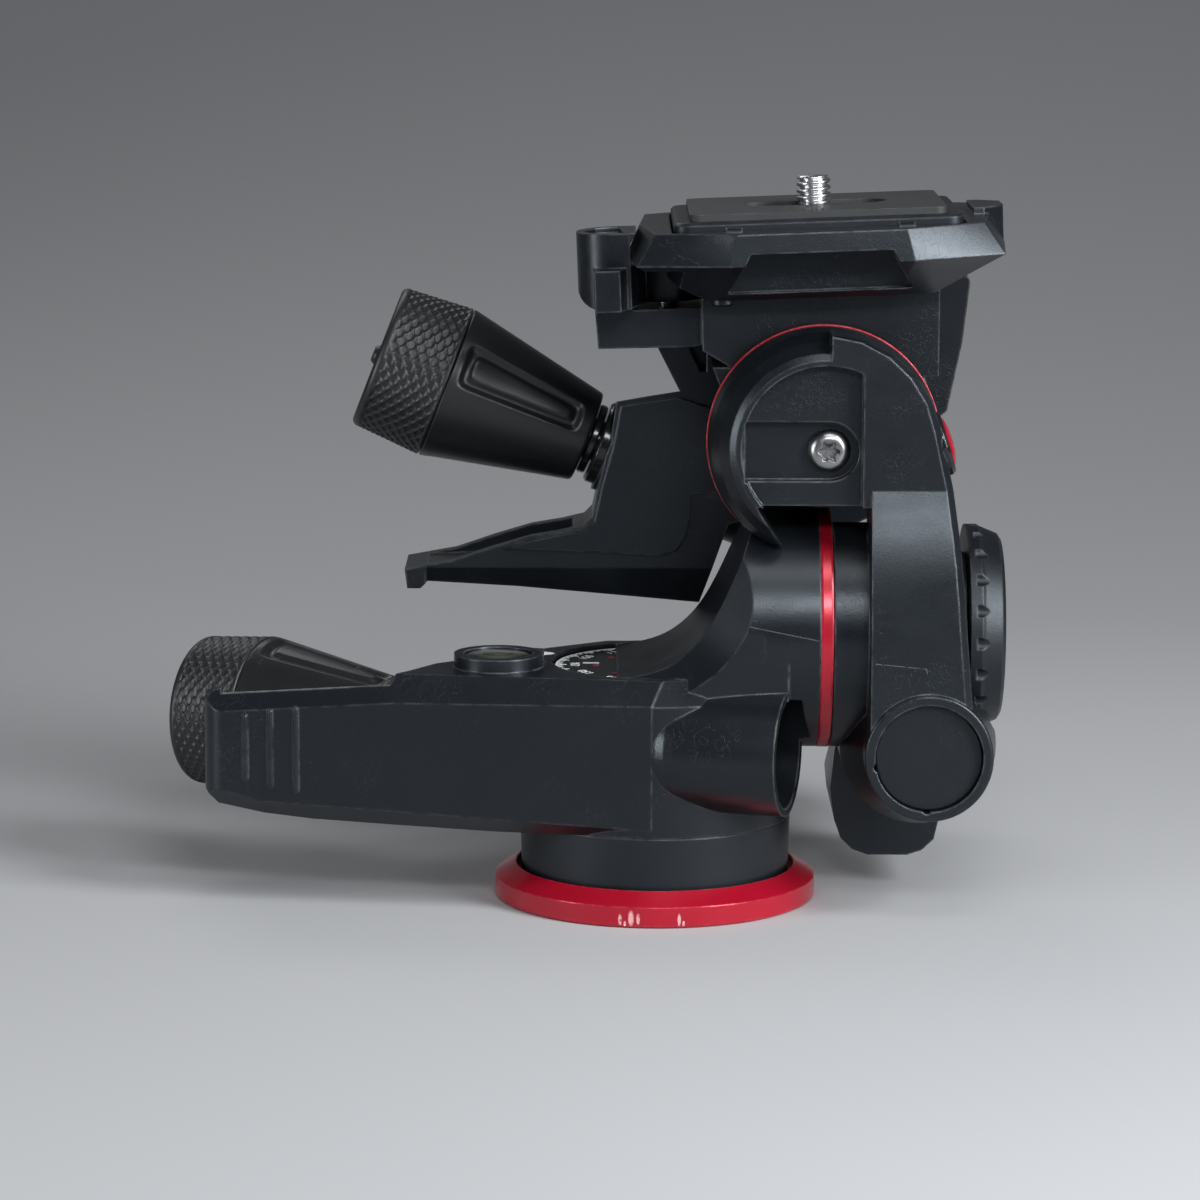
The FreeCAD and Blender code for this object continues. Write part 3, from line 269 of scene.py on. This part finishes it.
def moulded(name, tone, rough, grain, wear, seams=()):
    """Fine grained black technopolymer: spark-eroded grain, paler rubbed edges, smears, light scratches and
    the thin parting lines that the mould leaves."""
    f = Finish(name)
    cloud = f.noise(38.0, 4.0, 0.6)
    smear = f.noise(34.0, 5.0, 0.7, f.at((1.0, 1.0, 2.0), (0.2, 0.5, 0.1)))
    speck = f.noise(5200.0, 2.0, 0.6)
    fine = f.cells(3400.0)
    rubbed = f.edge_mask(0.0007, 6.0) * f.noise(420.0, 3.0, 0.6).step(0.30, 0.62)
    marks = scratches(f, 700.0, (0.4, 0.3, 0.9), 0.006) + scratches(f, 560.0, (0.9, 0.2, 2.2), 0.005)
    marks = marks.clamp()
    dust = f.noise(1500.0, 2.0, 0.7).step(0.70, 0.78) * cloud.step(0.45, 0.7)
    base = f.mix(cloud, [c * 0.65 for c in tone], [c * 1.4 for c in tone])
    base = f.mix(speck.step(0.45, 0.75) * 0.4, base, [c * 1.7 for c in tone])
    worn = rubbed * wear + marks * 0.30 * wear + dust * 0.12
    height = speck * 0.5 + fine * 0.6 - marks * 0.5
    if seams:
        seam = f.lines(seams, SEAM_HALF) * f.noise(800.0, 2.0, 0.6).step(0.25, 0.5)
        worn = worn + seam * 0.6
        height = height + seam * 2.0
    base = f.mix(worn.clamp(), base, WORN_GREY)
    gloss = (rough - 0.16 + smear * 0.30 + speck * 0.07 - rubbed * 0.08).clamp()
    return f.finish(base, gloss, f.bump(height, grain, f.soft_edges(SHELL_EDGE)),
                    **{"Specular IOR Level": 0.42, "Specular Tint": (0.84, 0.92, 1.0, 1.0)})


def gloss_black(name, rough):
    """Smooth dark polymer with faint rubbing and a few hairline marks."""
    f = Finish(name)
    cloud = f.noise(60.0, 4.0, 0.6)
    marks = scratches(f, 620.0, (0.3, 0.2, 0.8), 0.004)
    speck = f.noise(4200.0, 2.0, 0.6)
    rubbed = f.edge_mask(0.0006, 4.0) * f.noise(500.0, 2.0, 0.6).step(0.35, 0.65)
    base = f.mix(cloud, (0.0050, 0.0055, 0.0064), (0.0095, 0.0105, 0.0120))
    base = f.mix((marks * 0.5 + rubbed * 0.4).clamp(), base, (0.060, 0.063, 0.068))
    gloss = (rough + cloud * 0.14 + marks * 0.12 - 0.05).clamp()
    return f.finish(base, gloss, f.bump(speck * 0.5 - marks, 0.000012, f.soft_edges(0.0003)),
                    **{"Specular IOR Level": 0.42})


def red_coat(name, rough, scars):
    """Red anodised ring: fine turning lines, cloudy gloss, and bright nicks where it has been knocked."""
    f = Finish(name)
    x, y, z = f.xyz()
    cloud = f.noise(55.0, 4.0, 0.6)
    speck = f.noise(5200.0, 2.0, 0.5)
    rubbed = f.edge_mask(0.0005, 3.0) * f.noise(700.0, 2.0, 0.6).step(0.40, 0.66)
    base = f.mix(cloud, (0.36, 0.004, 0.018), (0.46, 0.007, 0.026))
    base = f.mix(rubbed * 0.5, base, (0.80, 0.30, 0.32))
    height = speck * 0.15
    if scars:
        cut = None
        for cx, cz, wide, tall in scars:
            spot = 1.0 - (((x - cx) / wide) ** 2 + ((z - cz) / tall) ** 2).step(0.25, 1.0)
            spot = spot * (1.0 - y.step(-0.02, -0.01))
            cut = spot if cut is None else cut + spot
        cut = (cut * f.noise(1600.0, 2.0, 0.7).step(0.25, 0.5)).clamp()
        base = f.mix(cut * 0.85, base, (0.85, 0.47, 0.47))
        height = height - cut * 6.0
    gloss = (rough + cloud * 0.12 - 0.04).clamp()
    return f.finish(base, gloss, f.bump(height, 0.00002, f.soft_edges(0.0003)),
                    **{"Coat Weight": 0.25, "Coat Roughness": 0.2, "Metallic": 0.35})


def bare_metal(name, tone, rough, turned=1.0):
    """Machined metal with fine turning marks and uneven gloss."""
    f = Finish(name)
    lines = f.noise(2400.0, 2.0, 0.6, f.at((1.0, 1.0, 0.15)))
    cloud = f.noise(160.0, 3.0, 0.6)
    base = f.mix(cloud, [c * 0.8 for c in tone], tone)
    gloss = (rough + cloud * 0.16 + lines * 0.08 - 0.08).clamp()
    return f.finish(base, gloss, f.bump(lines * turned, 0.00001, f.soft_edges(0.0002)), Metallic=1.0)


def rubber(name, tone, rough, grain):
    """Matt rubber or nylon: fine grain, cloudy tone, paler rubbed edges and dust."""
    f = Finish(name)
    cloud = f.noise(70.0, 4.0, 0.6)
    speck = f.noise(4800.0, 3.0, 0.6)
    rubbed = f.edge_mask(0.0004, 4.0) * f.noise(350.0, 2.0, 0.6).step(0.40, 0.66)
    base = f.mix(cloud, [c * 0.7 for c in tone], [c * 1.4 for c in tone])
    base = f.mix((rubbed * 0.5 + f.noise(1300.0, 2.0, 0.7).step(0.72, 0.80) * 0.3).clamp(), base,
                 (0.10, 0.104, 0.11))
    return f.finish(base, (rough + cloud * 0.16 - 0.08).clamp(), f.bump(speck, grain, f.soft_edges(0.0002)))


def clear_cap(name):
    """Glossy cap of the level, darker towards its rim, with a thin ring printed on it."""
    f = Finish(name)
    x, y, _ = f.xyz()
    cloud = f.noise(300.0, 3.0, 0.6)
    out = ((x - LEVEL_X) ** 2 + (y - LEVEL_Y) ** 2).math("SQRT") * 1000.0
    off_ring = abs(out - LEVEL_RING_R).step(0.12, 0.22)
    base = f.mix(out.step(3.4, 5.4), (0.070, 0.076, 0.056), (0.020, 0.021, 0.022))
    base = f.mix(1.0 - off_ring, base, (0.012, 0.012, 0.012))
    gloss = (cloud * 0.14 + 0.02).clamp()
    return f.finish(base, gloss, f.bump(cloud, 0.00001), **{"Coat Weight": 0.5, "Coat Roughness": 0.05})


look = {
    "shell": moulded("moulded_shell", SHELL, 0.29, 0.000018, 0.75),
    "pan_shell": moulded("moulded_pan_shell", SHELL, 0.29, 0.000018, 0.75, seams=HUB_SEAMS),
    "arm_shell": moulded("moulded_arm_shell", SHELL, 0.29, 0.000018, 0.75, seams=ARM_SEAMS),
    "shell_dark": moulded("moulded_dark", [c * 0.7 for c in SHELL], 0.40, 0.000018, 0.45),
    "skirt": moulded("coated_skirt", [c * 1.2 for c in SHELL], 0.34, 0.000008, 0.4),
    "cone": gloss_black("smooth_cone", 0.31),
    "washer": gloss_black("glossy_washer", 0.12),
    "grip": rubber("knurled_grip", (0.0085, 0.0095, 0.0110), 0.42, 0.000012),
    "pad": rubber("pad_rubber", (0.0150, 0.0160, 0.0180), 0.60, 0.00006),
    "base_ring": red_coat("red_base_ring", 0.22, SCARS),
    "ring": red_coat("red_ring", 0.26, []),
    "thin_ring": red_coat("red_thin_ring", 0.45, []),
    "badge": red_coat("red_badge", 0.16, []),
    "steel": bare_metal("bright_steel", (0.72, 0.72, 0.73), 0.24),
    "screw_steel": bare_metal("screw_steel", (0.36, 0.36, 0.37), 0.26),
    "dark_metal": bare_metal("dark_metal", (0.045, 0.046, 0.048), 0.36),
    "bronze": bare_metal("sintered_bronze", (0.42, 0.31, 0.18), 0.40),
    "nylon": rubber("nylon_washer", (0.60, 0.58, 0.54), 0.45, 0.00002),
    "dial": gloss_black("dial_face", 0.30),
    "level": clear_cap("level_cap"),
}
# the nodes that carry each finish
wears = {
    "base_ring": ["base_ring"],
    "dark_metal": ["base_core", "pan_spindle", "lateral_spindle", "tilt_spindle", "safety_button"],
    "steel": ["thread_insert", "pan_cotter", "lateral_cotter", "tilt_screw", "tilt_cotter", "lever_pin",
              "camera_screw"],
    "dial": ["pan_dial"],
    "nylon": ["pan_friction_washer"],
    "pan_shell": ["pan_housing"],
    "skirt": ["pan_skirt"],
    "bronze": ["pan_bushing", "lateral_bushing", "tilt_bushing"],
    "washer": ["pan_seat_washer", "pan_index", "badge_bezel", "lateral_seat_washer", "tilt_seat_washer",
               "pan_bolt", "lateral_bolt", "tilt_bolt"],
    "level": ["pan_bubble"],
    "ring": ["lateral_ring"],
    "arm_shell": ["c_arm"],
    "shell_dark": ["c_arm_cap", "lateral_knob", "tilt_knob", "plate_body"],
    "badge": ["badge"],
    "thin_ring": ["tilt_ring"],
    "shell": ["tilt_housing", "clamp_body", "release_lever"],
    "cone": ["pan_sleeve", "lateral_sleeve", "tilt_sleeve"],
    "grip": ["pan_grip", "lateral_grip", "tilt_grip"],
    "pad": ["plate_pad"],
}
for finish_name, names in wears.items():
    for name in names:
        nodes[name].data.materials.clear()
        nodes[name].data.materials.append(look[finish_name])


# ---------------------------------------------------------------- stage
FLOOR_HALF, FLOOR_NEAR, BEND_Y, BEND_R = 3.0, -2.5, 0.3, 1.4


def make_floor():
    """Flat pale floor that rises behind the object in a quarter circle; sizes in metres."""
    f = Finish("pale_floor")
    tone = f.mix(f.noise(6.0, 2.0, 0.5), (0.375, 0.375, 0.385), (0.39, 0.39, 0.40))
    finish = f.finish(tone, 0.85)
    turn = np.linspace(0, 1, 49) * math.pi / 2
    run = np.concatenate([[FLOOR_NEAR], BEND_Y + BEND_R * np.sin(turn)])
    rise = np.concatenate([[0.0], BEND_R - BEND_R * np.cos(turn)])
    x, y = np.meshgrid([-FLOOR_HALF, FLOOR_HALF], run)
    floor = surface("floor", np.stack([x, y, np.repeat(rise[:, None], 2, 1)], -1), finish)


def surface(name, pts, finish, wrap_u=False, wrap_v=False):
    """Mesh from a grid of points of shape (rows, columns, 3); wrap_u joins the columns, wrap_v the rows."""
    rows, cols = pts.shape[:2]
    grid = np.arange(rows * cols).reshape(rows, cols)
    if wrap_u:
        grid = np.concatenate([grid, grid[:, :1]], 1)
    if wrap_v:
        grid = np.concatenate([grid, grid[:1]], 0)
    quads = np.stack([grid[:-1, :-1], grid[:-1, 1:], grid[1:, 1:], grid[1:, :-1]], -1).reshape(-1, 4)
    mesh = bpy.data.meshes.new(name)
    mesh.from_pydata(pts.reshape(-1, 3).tolist(), [], quads.tolist())
    bm = bmesh.new()
    bm.from_mesh(mesh)
    bmesh.ops.remove_doubles(bm, verts=bm.verts, dist=1e-7)
    bmesh.ops.dissolve_degenerate(bm, edges=bm.edges, dist=1e-8)
    bm.to_mesh(mesh)
    bm.free()
    mesh.polygons.foreach_set("use_smooth", [True] * len(mesh.polygons))
    mesh.materials.append(finish)
    return placed(name, mesh)


# ---------------------------------------------------------------- locking handles
# radii in mm; u is the distance from a handle's seat along its axis
ROD_R, NECK_R, GRIP_R, GRIP_END_R, SPIGOT_R = 4.0, 8.9, 15.0, 14.1, 10.0
SLEEVE_U, SLEEVE_L, GRIP_L, RUN = 4.3, 29.0, 14.3, 0.06
SPIGOT_L = 9.5
# rounding of the grip's outer rim, and the nub in the middle of its end
RIM, NUB_R, NUB_H = 1.3, 1.6, 0.9
CONE_STEPS, GRIP_STEPS, CONE_AROUND = 110, 96, 360
# the cones' panels: where they lie along u, half width at their narrow end and its growth a millimetre,
# depth of the groove, and how far the floor inside it rises again
PANEL_FROM, PANEL_TO, PANEL_HALF, PANEL_GROWTH = 7.2, 31.4, 2.7, 1.6 / 24.5
PANEL_GROOVE, PANEL_RISE = 0.80, 0.55
# where along u the half width is measured, and how sharp the trapezoid's corners are
PANEL_AT, PANEL_SHARP = 7.0, 1.5
# the grips' scales: columns round the grip, rows along it, depth, mesh steps to a column
SCALES, SCALE_ROWS, SCALE_DEPTH, SCALE_STEPS = 60, 6, 0.42, 12
# seat in mm, direction, and how far the panels are turned about the axis, in degrees
HANDLES = {
    "pan": ((-43.1, -0.1, 30.8), (-math.cos(math.radians(25)), math.sin(math.radians(25)), 0.0), 20.0),
    "lateral": ((46.0, 17.0, 31.0), (0.0, 1.0, 0.0), 0.0),
    "tilt": ((-9.1, 34.7, 80.1), (-0.932, 0.0, 0.363), -35.0),
}


def smooth(x, low, high):
    """0 below low, 1 above high, with a smooth S between."""
    t = np.clip((x - low) / (high - low), 0.0, 1.0)
    return t * t * (3.0 - 2.0 * t)


def round_about(seat, direction, radius, along, angle):
    """Points at radius and distance along an axis; angle is measured in the plane across it."""
    d = np.array(direction) / np.linalg.norm(direction)
    e1 = np.cross(d, [0.0, 0.0, 1.0])
    e1 /= np.linalg.norm(e1)
    e2 = np.cross(d, e1)
    ring = np.cos(angle)[..., None] * e1 + np.sin(angle)[..., None] * e2
    return (np.array(seat) + radius[..., None] * ring + along[..., None] * d) * MM


def between(*stops):
    """Rows of (radius, along, count): count steps lead from each stop to the next."""
    out = [np.array([stops[0][:2]], float)]
    for (r0, u0, _), (r1, u1, n) in zip(stops, stops[1:]):
        t = np.linspace(0, 1, n + 1)[1:, None]
        out.append(np.array([[r0, u0]]) * (1 - t) + np.array([[r1, u1]]) * t)
    return np.concatenate(out)


def panel_depth(u, angle, radius):
    """Depth of the three panels: the smallest distance to the sides of a trapezoid, softened at its corners,
    lowers the surface into a rounded groove and raises it again to the panel's floor."""
    s = radius * (np.mod(angle + math.pi / 3, 2 * math.pi / 3) - math.pi / 3)
    half = PANEL_HALF + (u - PANEL_AT) * PANEL_GROWTH
    lean = math.cos(math.atan(PANEL_GROWTH))
    sides = np.stack([u - PANEL_FROM, PANEL_TO - u, (half - s) * lean, (half + s) * lean])
    inside = -np.log(np.exp(-PANEL_SHARP * sides).sum(0)) / PANEL_SHARP
    return PANEL_GROOVE * smooth(inside, -0.55, 0.80) - PANEL_RISE * smooth(inside, 0.95, 2.0)


def make_sleeve(tag):
    """Cone from the neck to the grip with soft sunk panels, closed by its spigot and its bore."""
    seat, direction, turn = HANDLES[tag]
    u0, u1 = SLEEVE_U, SLEEVE_U + SLEEVE_L
    rows = between((ROD_R + RUN, u0, 0), (NECK_R - 0.5, u0, 4), (NECK_R - 0.15, u0 + 0.15, 2),
                   (NECK_R + 0.08, u0 + 0.5, 2), (GRIP_R - 0.05, u1 - 0.2, CONE_STEPS),
                   (GRIP_R - 0.2, u1, 1), (SPIGOT_R, u1, 4), (SPIGOT_R, u1 + SPIGOT_L, 6),
                   (ROD_R + RUN, u1 + SPIGOT_L, 3))
    angle = np.linspace(0, 2 * math.pi, CONE_AROUND, endpoint=False)
    a, r = np.meshgrid(angle, rows[:, 0])
    u = np.repeat(rows[:, 1:], len(angle), 1)
    on_cone = (u > u0 + 0.6) & (u < u1 - 0.3) & (r > NECK_R)
    r = r - np.where(on_cone, panel_depth(u, a - math.radians(turn), r), 0.0)
    piece = surface(tag + "_handle_cone", round_about(seat, direction, r, u, a), look["cone"], True, True)
    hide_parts(tag + "_sleeve")
    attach(piece, tag + "_handle")


def scale_depth(u, angle, first, last):
    """Staggered oval scales in columns round the grip. Each is a shallow bowl in a raised rim: its depth
    falls off at oval distance 1, and one side of the bowl is deeper than the other."""
    pitch = (last - first) / SCALE_ROWS
    column = angle / (2 * math.pi) * SCALES
    deepest = np.zeros_like(u)
    for offset in (0.0, 1.0):
        c = np.mod(column + offset, 2.0) - 1.0
        v = np.mod((u - first) / pitch + 0.5 * offset, 1.0) - 0.5
        oval = np.sqrt((c / 0.88) ** 2 + (v / 0.44) ** 2)
        bowl = 1.0 - smooth(oval, 0.45, 1.0)
        deepest = np.maximum(deepest, bowl * (0.62 + 0.38 * np.clip(-c, -1, 1)))
    fade = smooth(u, first - 0.1, first + 0.3) * (1.0 - smooth(u, last - 0.3, last + 0.1))
    return SCALE_DEPTH * deepest * fade


def make_grip(tag):
    """Cap with a rounded rim and a centre nub; its side carries rows of small scales."""
    seat, direction, _ = HANDLES[tag]
    u0, u1 = SLEEVE_U + SLEEVE_L + 0.15, SLEEVE_U + SLEEVE_L + GRIP_L
    side = GRIP_END_R
    rim_turn = np.radians(np.linspace(80, 0, 8))
    arc = [(side - RIM + RIM * math.sin(t), u1 - RIM + RIM * math.cos(t), 1) for t in rim_turn]
    rows = between((SPIGOT_R + RUN, u0, 0), (GRIP_R - 0.3, u0, 3), (GRIP_R, u0 + 0.4, 2),
                   (side + 0.02, u1 - RIM - 0.1, GRIP_STEPS), *arc, (NUB_R + 0.4, u1, 4),
                   (NUB_R, u1 + NUB_H - 0.2, 2), (NUB_R - 0.3, u1 + NUB_H, 1), (0.0, u1 + NUB_H, 1),
                   (0.0, u1 - 1.2, 1), (ROD_R + 0.3, u1 - 1.2, 1),
                   (ROD_R + 0.3, u0 + 9.8, 2), (SPIGOT_R + RUN, u0 + 9.8, 1), (SPIGOT_R + RUN, u0 + 0.1, 3))
    angle = np.linspace(0, 2 * math.pi, SCALES * SCALE_STEPS, endpoint=False)
    a, r = np.meshgrid(angle, rows[:, 0])
    u = np.repeat(rows[:, 1:], len(angle), 1)
    outside = (r > side - 0.2) & (u > u0 + 0.3) & (u < u1 - RIM)
    r = r - np.where(outside, scale_depth(u, a, u0 + 0.5, u1 - RIM - 0.2), 0.0)
    piece = surface(tag + "_handle_grip", round_about(seat, direction, r, u, a), look["grip"], True, True)
    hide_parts(tag + "_grip")
    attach(piece, tag + "_cap")


for tag in HANDLES:
    make_sleeve(tag)
    make_grip(tag)


# ---------------------------------------------------------------- threads and screws
# lean of the clamp and the axis that it leans about, in mm
ROLL, TILT_X, TILT_Z = math.radians(2.3), 30.4, 86.8
# camera screw, in the clamp's own frame, in mm: axis, crest radius, pitch and depth of the thread, and where
# the thread starts and ends along Z
SCREW_Y, SCREW_R, PITCH, THREAD_DEPTH = 3.0, 3.17, 1.27, 0.62
THREAD_Z0, THREAD_Z1, SCREW_TOP = 42.9, 47.4, 47.9
THREAD_AROUND = 72
# tilt screw, in mm: middle of its head's rim; its socket as shares of the lobed outline's radius and Y from
# that rim; the head round it as radius and Y
SOCKET_AT = (31.0, -17.0, 86.3)
SOCKET = [(0.0, -0.3), (0.55, -0.1), (1.0, -0.1), (1.0, -0.9), (1.0, -1.6), (1.03, -2.1), (1.10, -2.26)]
HEAD = [(2.25, -2.28), (2.75, -2.12), (3.25, -1.78), (3.65, -1.3), (3.88, -0.8), (3.97, -0.35), (4.0, 0.0),
        (2.6, 0.0), (2.6, 4.2), (0.0, 4.2)]
LOBES, LOBE_R, LOBE_SWING = 6, 1.62, 0.26


def tilted(points):
    """Points of the clamp's own level frame, in mm, moved to the head's frame, in metres."""
    x, y, z = points[..., 0], points[..., 1], points[..., 2]
    return np.stack([TILT_X + x * math.cos(ROLL) - z * math.sin(ROLL), y,
                     TILT_Z + x * math.sin(ROLL) + z * math.cos(ROLL)], -1) * MM


def helix(z, angle, radius, pitch, depth):
    """Radius of a thread: a flat crest and a V that winds up by one pitch a turn."""
    phase = np.mod(z / pitch - angle / (2 * math.pi), 1.0)
    ramp = np.abs(2.0 * phase - 1.0)
    return radius - depth * (1.0 - smooth(ramp, 0.10, 0.80))


def make_camera_screw():
    """Rolled thread with a chamfered tip, set on the solid's own head and shank cut off below the thread."""
    z = np.concatenate([np.linspace(THREAD_Z0, THREAD_Z1, 68), np.linspace(THREAD_Z1 + 0.05, SCREW_TOP, 5)])
    angle = np.linspace(0, 2 * math.pi, THREAD_AROUND, endpoint=False)
    a, zz = np.meshgrid(angle, z)
    r = helix(zz, a, SCREW_R, PITCH, THREAD_DEPTH)
    r = np.minimum(r, SCREW_R - np.clip(zz - THREAD_Z1 + 0.1, 0, None) * 0.8)
    middle = np.zeros((1, THREAD_AROUND))
    r = np.concatenate([middle, r, middle])
    zz = np.concatenate([zz[:1], zz, zz[-1:]])
    a = np.concatenate([a[:1], a, a[-1:]])
    pts = tilted(np.stack([r * np.cos(a), SCREW_Y + r * np.sin(a), zz], -1))
    stud = surface("camera_stud", pts, look["steel"], True)
    bm = bmesh.new()
    bm.from_mesh(nodes["camera_screw"].data)
    bmesh.ops.remove_doubles(bm, verts=bm.verts, dist=1e-7)
    up = Vector((-math.sin(ROLL), 0, math.cos(ROLL)))
    at = Vector(tilted(np.array([0.0, SCREW_Y, THREAD_Z0 - 0.01])))
    cut = bmesh.ops.bisect_plane(bm, geom=bm.verts[:] + bm.edges[:] + bm.faces[:], plane_co=at, plane_no=up,
                                 clear_outer=True)
    bmesh.ops.holes_fill(bm, edges=[e for e in cut["geom_cut"] if isinstance(e, bmesh.types.BMEdge)])
    bm.from_mesh(stud.data)
    bm.to_mesh(stud.data)
    bm.free()
    stud.data.set_sharp_from_angle(angle=math.radians(35))
    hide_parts("camera_screw")
    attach(stud, "screw")


def make_socket_screw():
    """Button head with a six-lobed socket sunk in it."""
    angle = np.linspace(0, 2 * math.pi, 180, endpoint=False)
    lobes = LOBE_R + LOBE_SWING * np.cos(LOBES * angle)
    rows = [lobes * share for share, _ in SOCKET] + [np.full_like(angle, radius) for radius, _ in HEAD]
    r = np.stack(rows)
    y = np.repeat(np.array([rise for _, rise in SOCKET + HEAD])[:, None], len(angle), 1)
    x0, y0, z0 = SOCKET_AT
    pts = np.stack([x0 + r * np.cos(angle), y0 + y, z0 + r * np.sin(angle)], -1) * MM
    head = surface("socket_screw", pts, look["screw_steel"], True)
    head.data.set_sharp_from_angle(angle=math.radians(40))
    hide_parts("tilt_screw")
    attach(head, "lateral_body")


make_camera_screw()
make_socket_screw()


# ---------------------------------------------------------------- printed dial
# print on the dial and on the pointer beside it, in mm: from and to along Z
DIAL_INK, POINTER_INK = (43.39, 43.43), (45.49, 45.53)
# radius from and to, then half width, of the marks
EDGE_LINE = (18.15, 18.75)
TEETH, LONG_TEETH, RED_MARKS = (17.45, 18.3, 0.26), (16.7, 18.3, 0.20), (10.6, 11.8, 0.5)
# radius on which the numbers stand, their height and half their thickness
NUMBER_R, NUMBER_SIZE, NUMBER_HALF = 15.0, 2.6, 0.02
# rectangles of the two bars (x0, x1, y0, y1) and corners of the pointer
BARS = [(-6.8, 3.6, 2.0, 3.2), (-13.6, -10.6, 1.2, 2.3)]
POINTER = [(-20.9, -1.7), (-19.0, -0.5), (-19.0, 0.5), (-20.9, 1.7)]


def slab(name, outline, span, finish):
    """Flat outlines of shape (pieces, corners, 2), in mm, raised over a span of Z."""
    z0, z1 = span
    count, corners = outline.shape[:2]
    low_ring = np.concatenate([outline, np.full((count, corners, 1), z0)], -1)
    high_ring = np.concatenate([outline, np.full((count, corners, 1), z1)], -1)
    verts = np.stack([low_ring, high_ring], 1).reshape(-1, 3) * MM
    start = np.arange(count)[:, None] * 2 * corners
    k = np.arange(corners)
    faces = [(start + corners + k).tolist(), (start + k[::-1]).tolist()]
    after = (k + 1) % corners
    walls = start[..., None] + np.stack([k, after, corners + after, corners + k], -1)[None]
    mesh = bpy.data.meshes.new(name)
    mesh.from_pydata(verts.tolist(), [], faces[0] + faces[1] + walls.reshape(-1, 4).tolist())
    mesh.materials.append(finish)
    return placed(name, mesh)


def radial_bars(angles, r0, r1, half):
    """Bars that point at the pan axis: four corners each, from radius r0 to r1."""
    out = np.stack([np.cos(angles), np.sin(angles)], -1)
    side = np.stack([-out[:, 1], out[:, 0]], -1) * half
    return np.stack([out * r0 - side, out * r1 - side, out * r1 + side, out * r0 + side], 1)


def ink(name, tone):
    """Printed ink, a little worn through."""
    f = Finish(name)
    base = f.mix(f.noise(900.0, 3.0, 0.7).step(0.56, 0.70), tone, [c * 0.35 for c in tone])
    return f.finish(base, f.noise(400.0) * 0.2 + 0.4)


def make_dial_print():
    """Degree scale: a white edge line, teeth each five degrees and long ones each fifteen, numbers each
    thirty, two bars and red marks; the pointer beside the dial is white too."""
    white = ink("white_ink", (0.70, 0.72, 0.72))
    red = ink("red_ink", (0.45, 0.02, 0.02))
    step = np.radians(np.arange(0, 360, 3))
    edge = np.stack([np.cos(step), np.sin(step)], -1)
    nxt = np.roll(edge, -1, 0)
    r0, r1 = EDGE_LINE
    line = np.stack([edge * r0, edge * r1, nxt * r1, nxt * r0], 1)
    bars = np.array([[(x0, y0), (x1, y0), (x1, y1), (x0, y1)] for x0, x1, y0, y1 in BARS])
    teeth = radial_bars(np.radians(np.arange(2.5, 360, 5)), *TEETH)
    long_teeth = radial_bars(np.radians(np.arange(0, 360, 15)), *LONG_TEETH)
    red_marks = radial_bars(np.radians(np.arange(0, 360, 45) + 3.0), *RED_MARKS)
    parts = [
        slab("dial_edge_line", line, DIAL_INK, white),
        slab("dial_teeth", teeth, DIAL_INK, white),
        slab("dial_long_teeth", long_teeth, DIAL_INK, white),
        slab("dial_red_marks", red_marks, DIAL_INK, red),
        slab("dial_bars", bars, DIAL_INK, white),
    ]
    for value in range(0, 360, 30):
        text = bpy.data.curves.new("dial_number_%d" % value, "FONT")
        text.body = str(value if value <= 180 else 360 - value)
        text.size = NUMBER_SIZE * MM
        text.align_x = "CENTER"
        text.align_y = "CENTER"
        text.extrude = NUMBER_HALF * MM
        turn = Matrix.Rotation(math.radians(value - 90), 4, "Z")
        letters = placed("dial_number_%d" % value, text)
        mesh = bpy.data.meshes.new_from_object(letters)
        bpy.data.objects.remove(letters)
        place = Matrix.Translation((0, NUMBER_R * MM, sum(DIAL_INK) / 2 * MM))
        mesh.transform(turn @ place)
        mesh.materials.clear()
        mesh.materials.append(white)
        parts.append(placed("dial_number_%d" % value, mesh))
    for part in parts:
        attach(part, "base")
    pointer = slab("dial_pointer", np.array([POINTER]), POINTER_INK, white)
    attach(pointer, "pan_body")


make_dial_print()
make_floor()
